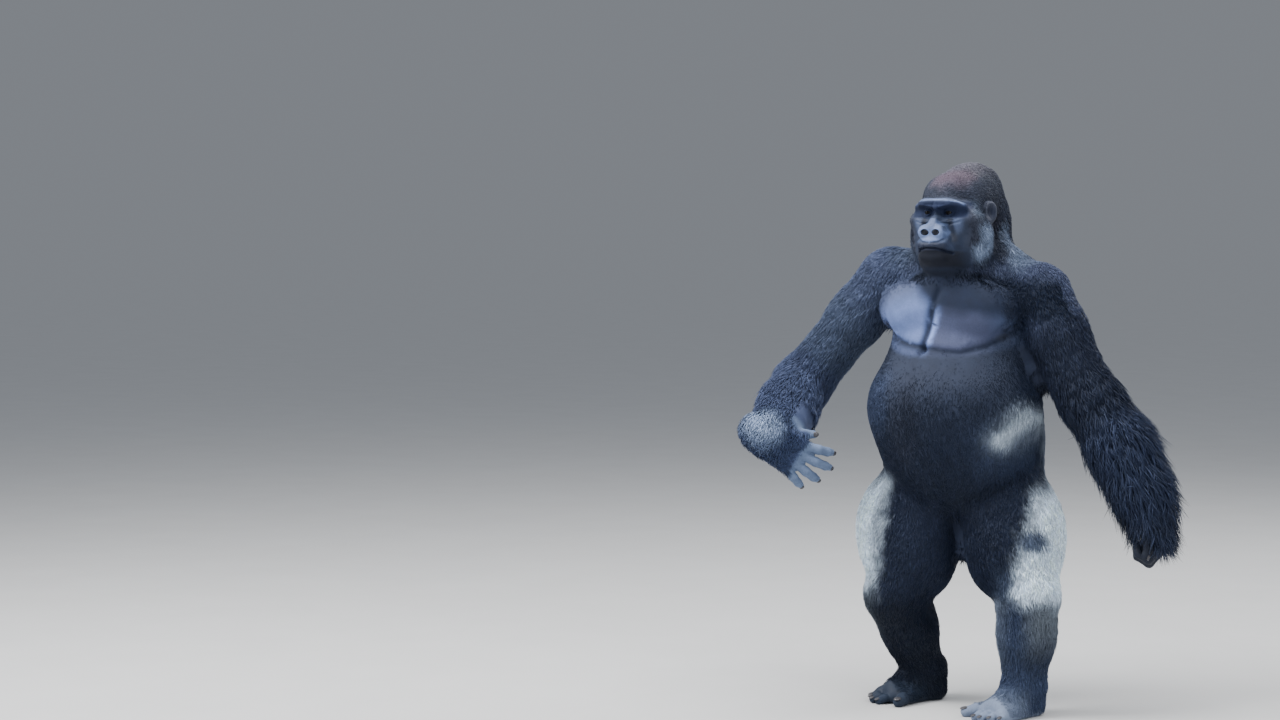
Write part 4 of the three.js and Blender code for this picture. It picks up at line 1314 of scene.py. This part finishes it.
# ------------------------------------------------------------------ materials
def new_group(name, inputs, outputs):
    group = bpy.data.node_groups.new(name, "ShaderNodeTree")
    for socket, kind, value in inputs:
        item = group.interface.new_socket(socket, in_out="INPUT", socket_type=kind)
        item.default_value = value
    for socket, kind in outputs:
        group.interface.new_socket(socket, in_out="OUTPUT", socket_type=kind)
    return group, group.nodes.new("NodeGroupInput"), group.nodes.new("NodeGroupOutput")


def node(tree, kind, inputs=None, **settings):
    """Adds a node with settings, and values or links for its inputs."""
    made = tree.nodes.new("ShaderNode" + kind)
    for name, value in settings.items():
        setattr(made, name, value)
    for name, value in (inputs or {}).items():
        if isinstance(value, bpy.types.NodeSocket):
            tree.links.new(value, made.inputs[name])
        else:
            made.inputs[name].default_value = value
    return made


def grouped(tree, group, inputs):
    return node(tree, "Group", inputs, node_tree=group)


def make_mottle():
    """A colour made lighter and darker in soft patches."""
    group, given, result = new_group(
        "mottle",
        [("Colour", "NodeSocketColor", (0.5, 0.5, 0.5, 1)), ("Scale", "NodeSocketFloat", 20),
         ("Amount", "NodeSocketFloat", 0.3)],
        [("Colour", "NodeSocketColor")])
    place = node(group, "TexCoord").outputs["Object"]
    noise = node(group, "TexNoise", {"Vector": place, "Scale": given.outputs["Scale"],
                                     "Detail": 5.0, "Roughness": 0.6})
    swing = node(group, "Math", {0: noise.outputs["Fac"], 1: 0.5}, operation="SUBTRACT")
    scaled = node(group, "Math", {0: swing.outputs[0], 1: given.outputs["Amount"]},
                  operation="MULTIPLY")
    level = node(group, "Math", {0: scaled.outputs[0], 1: 2.0, 2: 1.0}, operation="MULTIPLY_ADD")
    tinted = node(group, "VectorMath", {0: given.outputs["Colour"], 1: level.outputs[0]},
                  operation="MULTIPLY")
    group.links.new(tinted.outputs[0], result.inputs["Colour"])
    return group


def make_creases():
    """Height of fine crossing creases, as in thick bare skin."""
    group, given, result = new_group(
        "creases", [("Scale", "NodeSocketFloat", 160)], [("Height", "NodeSocketFloat")])
    place = node(group, "TexCoord").outputs["Object"]
    bend = node(group, "TexNoise", {"Vector": place, "Scale": 18.0, "Detail": 2.0})
    bent = node(group, "VectorMath", {0: bend.outputs["Color"], 1: (0.02, 0.02, 0.02), 2: place},
                operation="MULTIPLY_ADD")
    cells = node(group, "TexVoronoi", {"Vector": bent.outputs[0],
                                       "Scale": given.outputs["Scale"]},
                 feature="DISTANCE_TO_EDGE")
    edge = node(group, "MapRange", {"Value": cells.outputs["Distance"], "From Max": 0.12})
    pores = node(group, "TexNoise", {"Vector": place, "Scale": 420.0, "Detail": 3.0})
    height = node(group, "Math", {0: pores.outputs["Fac"], 1: 0.35, 2: edge.outputs[0]},
                  operation="MULTIPLY_ADD")
    group.links.new(height.outputs[0], result.inputs["Height"])
    return group


def make_nap():
    """Height of short hair that lies down the body."""
    group, given, result = new_group(
        "nap", [("Scale", "NodeSocketFloat", 260)], [("Height", "NodeSocketFloat")])
    place = node(group, "TexCoord").outputs["Object"]
    drawn = node(group, "Mapping", {"Vector": place, "Scale": (1, 1, 0.16)})
    hair = node(group, "TexNoise", {"Vector": drawn.outputs[0],
                                    "Scale": given.outputs["Scale"], "Detail": 3.0})
    group.links.new(hair.outputs["Fac"], result.inputs["Height"])
    return group


MOTTLE = make_mottle()
CREASES = make_creases()
NAP = make_nap()


def new_material(name, roughness, specular):
    material = bpy.data.materials.new(name)
    material.use_nodes = True
    shader = material.node_tree.nodes["Principled BSDF"]
    shader.inputs["Roughness"].default_value = roughness
    shader.inputs["Specular IOR Level"].default_value = specular
    return material, material.node_tree, shader


def mottled(tree, shader, colour, *coats):
    """Makes a colour uneven, by a scale and an amount for each coat, as the base colour."""
    for scale, amount in coats:
        given = {"Colour": colour, "Scale": scale, "Amount": amount}
        colour = grouped(tree, MOTTLE, given).outputs[0]
    tree.links.new(colour, shader.inputs["Base Color"])


def hide_material():
    """The skin: bare and creased in places, under short hair elsewhere."""
    material, tree, shader = new_material("hide", 0.6, 0.3)
    colour = node(tree, "Attribute", attribute_name="markings").outputs["Color"]
    shine = node(tree, "Attribute", attribute_name="gloss").outputs["Fac"]
    mottled(tree, shader, colour, (22.0, 0.35), (240.0, 0.25))
    rough = node(tree, "MapRange", {"Value": shine, "To Min": 0.85, "To Max": 0.33})
    tree.links.new(rough.outputs[0], shader.inputs["Roughness"])
    creases = grouped(tree, CREASES, {"Scale": 150.0})
    nap = grouped(tree, NAP, {"Scale": 300.0})
    height = node(tree, "Mix", {"Factor": shine, "A": nap.outputs[0], "B": creases.outputs[0]})
    bump = node(tree, "Bump", {"Height": height.outputs[0], "Strength": 0.35, "Distance": 0.0015})
    tree.links.new(bump.outputs[0], shader.inputs["Normal"])
    return material


def hair_material():
    """Dull hair with a faint bluish sheen, in the colours of the markings."""
    material, tree, shader = new_material("hair", 0.5, 0.12)
    shader.inputs["Sheen Weight"].default_value = 0.05
    shader.inputs["Sheen Roughness"].default_value = 0.5
    shader.inputs["Sheen Tint"].default_value = (0.75, 0.85, 1, 1)
    colour = node(tree, "Attribute", attribute_name="markings").outputs["Color"]
    mottled(tree, shader, colour, (14.0, 0.3), (160.0, 0.3))
    return material


# ------------------------------------------------------------------ eyes
GAZE = face(-0.16, 1, -0.04)
CORNEA = 0.07  # how far it stands out, as a share of the eye's radius
EYE_RINGS_IN_SHADE = (  # colours from the pupil's middle out to the white, all darkened nearly to black as painted shade of the deep sockets
    (0.0, (0.002, 0.002, 0.002)), (0.25, (0.002, 0.002, 0.002)), (0.29, (0.004, 0.003, 0.003)),
    (0.52, (0.006, 0.004, 0.004)), (0.6, (0.003, 0.003, 0.003)), (0.7, (0.006, 0.006, 0.007)),
    (1.0, (0.008, 0.008, 0.01)),
)


def make_eye(s):
    """An eyeball with a clear bulge over its iris, its pole turned the way it looks."""
    low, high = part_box(f"eye_{SIDE_NAME[s]}")
    centre = (low + high) / 2
    radius = (high - low).z / 2
    gaze = Vector(HEAD.axes.T @ unit(GAZE))
    bpy.ops.object.select_all(action="DESELECT")
    bpy.ops.mesh.primitive_uv_sphere_add(segments=40, ring_count=28, radius=radius,
                                         location=centre)
    eye = bpy.context.active_object
    eye.name = eye.data.name = f"eyeball_{SIDE_NAME[s]}"
    eye.rotation_euler = gaze.to_track_quat("Z", "Y").to_euler()
    bpy.ops.object.transform_apply(location=True, rotation=True, scale=True)
    for vertex in eye.data.vertices:
        along = (vertex.co - centre).normalized().dot(gaze)
        vertex.co += gaze * radius * CORNEA * float(smooth(along, 0.8, 0.98))
    bpy.ops.object.shade_smooth()
    eye.data.materials.append(eye_material(SIDE_NAME[s], centre + gaze * radius, radius))
    return eye


def eye_material(tag, pupil, radius):
    """A wet eye, coloured in rings round its pupil's place."""
    material, tree, shader = new_material(f"eye_{tag}", 0.12, 0.08)
    place = node(tree, "TexCoord").outputs["Object"]
    far = node(tree, "VectorMath", {0: place, 1: tuple(pupil)}, operation="DISTANCE")
    ratio = node(tree, "Math", {0: far.outputs["Value"], 1: radius}, operation="DIVIDE")
    noise = node(tree, "TexNoise", {"Vector": place, "Scale": 900.0, "Detail": 2.0})
    streak = node(tree, "Math", {0: noise.outputs["Fac"], 1: 0.06, 2: ratio.outputs[0]},
                  operation="MULTIPLY_ADD")
    ramp = node(tree, "ValToRGB", {"Fac": streak.outputs[0]})
    elements = ramp.color_ramp.elements
    while len(elements) < len(EYE_RINGS_IN_SHADE):
        elements.new(1)
    for element, (reach, colour) in zip(elements, EYE_RINGS_IN_SHADE):
        element.position = reach
        element.color = (*colour, 1)
    tree.links.new(ramp.outputs["Color"], shader.inputs["Base Color"])
    shader.inputs["Coat Weight"].default_value = 0.1
    shader.inputs["Coat Roughness"].default_value = 0.03
    return material


# ------------------------------------------------------------------ nails
def nail_places():
    """Each nail's middle and its axes along, across and out of the digit's back, in mm."""
    for s in SIDES:
        digits = [(HAND[s], s, *chain) for chain in hand_chains(s)]
        digits += [(FOOT[s], RIGHT, *chain) for chain in foot_chains(s)]
        for place, turn, points, radii in digits:
            along = unit(points[-1] - points[-2])
            run = unit(vec(*along[:2], 0))
            back = vec(0, 0, -turn) * (along @ run) + run * turn * along[2]
            across = np.cross(back, along)
            tip = radii[-1]
            middle = place.body(points[-1] + back * tip * 0.82 + along * tip * 0.2)
            yield middle, place.axes.T @ np.array([along * 0.8, across * 0.7, back * 0.3]).T * tip


def make_nails():
    """Curved nails on the fingers and toes: one is modelled, then copied to each tip."""
    bpy.ops.object.select_all(action="DESELECT")
    bpy.ops.mesh.primitive_uv_sphere_add(segments=20, ring_count=12, radius=1)
    pattern = bpy.context.active_object
    edit_all(bpy.ops.mesh.bisect, plane_co=(0, 0, -0.2), plane_no=(0, 0, 1),
             use_fill=True, clear_inner=True)
    places = list(nail_places())
    nails = [pattern]
    for _ in places[1:]:
        nail = show(pattern.copy())
        nail.data = pattern.data.copy()
        nails.append(nail)
    for nail, (middle, axes) in zip(nails, places):
        matrix = Matrix((axes * MM).tolist()).to_4x4()
        matrix.translation = Vector(to_row(middle))
        nail.data.transform(matrix)
        nail.select_set(True)
    bpy.context.view_layer.objects.active = pattern
    bpy.ops.object.join()
    pattern.name = pattern.data.name = "nails"
    edit_all(bpy.ops.mesh.normals_make_consistent, inside=False)
    bpy.ops.object.shade_smooth()
    material, tree, shader = new_material("nail", 0.35, 0.5)
    mottled(tree, shader, NAIL, (300.0, 0.4))
    pattern.data.materials.append(material)
    return pattern


# ------------------------------------------------------------------ putting it together
def dress():
    """Makes every piece, and says what it rides on, replaces and is made of."""
    skin = make_skin()
    points = read_points(skin.data)
    write_colours(skin.data, markings(points))
    layer = skin.data.attributes.new("gloss", "FLOAT", "POINT")
    layer.data.foreach_set("value", gloss(points).astype(np.float32))
    skin.data.materials.append(hide_material())
    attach(skin, "root")
    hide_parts(*[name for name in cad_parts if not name.startswith("eye_")])
    hair = hair_material()
    for piece in grow_coat(skin):
        piece.data.materials.append(hair)
        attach(piece, "root")
        coat_slot(piece.name)
    nails = make_nails()
    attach(nails, "root")
    for s in SIDES:
        eye = make_eye(s)
        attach(eye, "root")
        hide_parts(f"eye_{SIDE_NAME[s]}")


COAT_SLOTS = {"coat_head": "crest_hair", "coat_thigh": "silver_coat",
              "coat_shank": "grey_coat", "coat_forearm": "long_arm_coat"}


def coat_slot(name):
    fitting = [slot for start, slot in COAT_SLOTS.items() if name.startswith(start)]
    return fitting[0] if fitting else "dark_coat"


LIGHTS = (  # name, place and size in metres, power in watts
    ("key", (-3.2, -3.0, 4.4), 2.8, 530),
    ("top", (0.3, -0.6, 5.2), 4.0, 360),
    ("fill", (4.5, -2.6, 2.6), 3.0, 120),
    ("rim", (1.6, 4.2, 4.4), 3.0, 180),
)
LENS = 73.69  # mm, on a sensor 36 mm wide
CAMERA_PLACE = vec(3381, -7250, 1450)
CAMERA_AZIMUTH = 25  # degrees round to the animal's left
CAMERA_PAN = 7.05  # degrees that it looks past the animal, which stands to the right
CAMERA_DIP = 2.896
SKY = vec(0.84, 0.9, 1.0)
SKY_STRENGTH = 0.5
FLOOR_TONE = 0.5
FAR_FLOOR = 0.5  # how bright the floor is far off, as a share of the sky


def make_world():
    """An even sky, which the camera sees in the tone of the floor far off."""
    world = bpy.data.worlds.new("studio")
    world.use_nodes = True
    tree = world.node_tree
    seen = node(tree, "LightPath").outputs["Is Camera Ray"]
    tint = node(tree, "Mix", {0: seen, 6: (*SKY, 1), 7: (*(SKY * FAR_FLOOR), 1)},
                data_type="RGBA")
    background = tree.nodes["Background"]
    tree.links.new(tint.outputs[2], background.inputs["Color"])
    background.inputs["Strength"].default_value = SKY_STRENGTH
    bpy.context.scene.world = world


def look_along(obj, way):
    obj.rotation_euler = way.to_track_quat("-Z", "Y").to_euler()


def make_stage():
    """A pale floor, soft lights and the camera."""
    bpy.ops.object.select_all(action="DESELECT")
    bpy.ops.mesh.primitive_plane_add(size=600, location=(0, 0, 0))
    floor = bpy.context.active_object
    floor.name = "floor"
    material, tree, shader = new_material("pale_floor", 0.9, 0)
    mottled(tree, shader, (FLOOR_TONE, FLOOR_TONE, FLOOR_TONE, 1), (3.0, 0.05))
    floor.data.materials.append(material)
    make_world()
    for name, place, size, power in LIGHTS:
        light = bpy.data.lights.new(name, "AREA")
        light.size, light.energy = size, power
        lamp = show(bpy.data.objects.new(name, light))
        lamp.location = place
        look_along(lamp, Vector((0, 0, 1)) - lamp.location)
    camera = show(bpy.data.objects.new("camera", bpy.data.cameras.new("camera")))
    bpy.context.scene.camera = camera
    camera.data.sensor_width = 36
    camera.data.lens = LENS
    camera.data.clip_end = 400
    camera.location = Vector(to_row(CAMERA_PLACE))
    turn, dip = math.radians(CAMERA_AZIMUTH + CAMERA_PAN), math.radians(CAMERA_DIP)
    level = math.cos(dip)
    way = (-math.sin(turn) * level, math.cos(turn) * level, -math.sin(dip))
    look_along(camera, Vector(way))


dress()
make_stage()
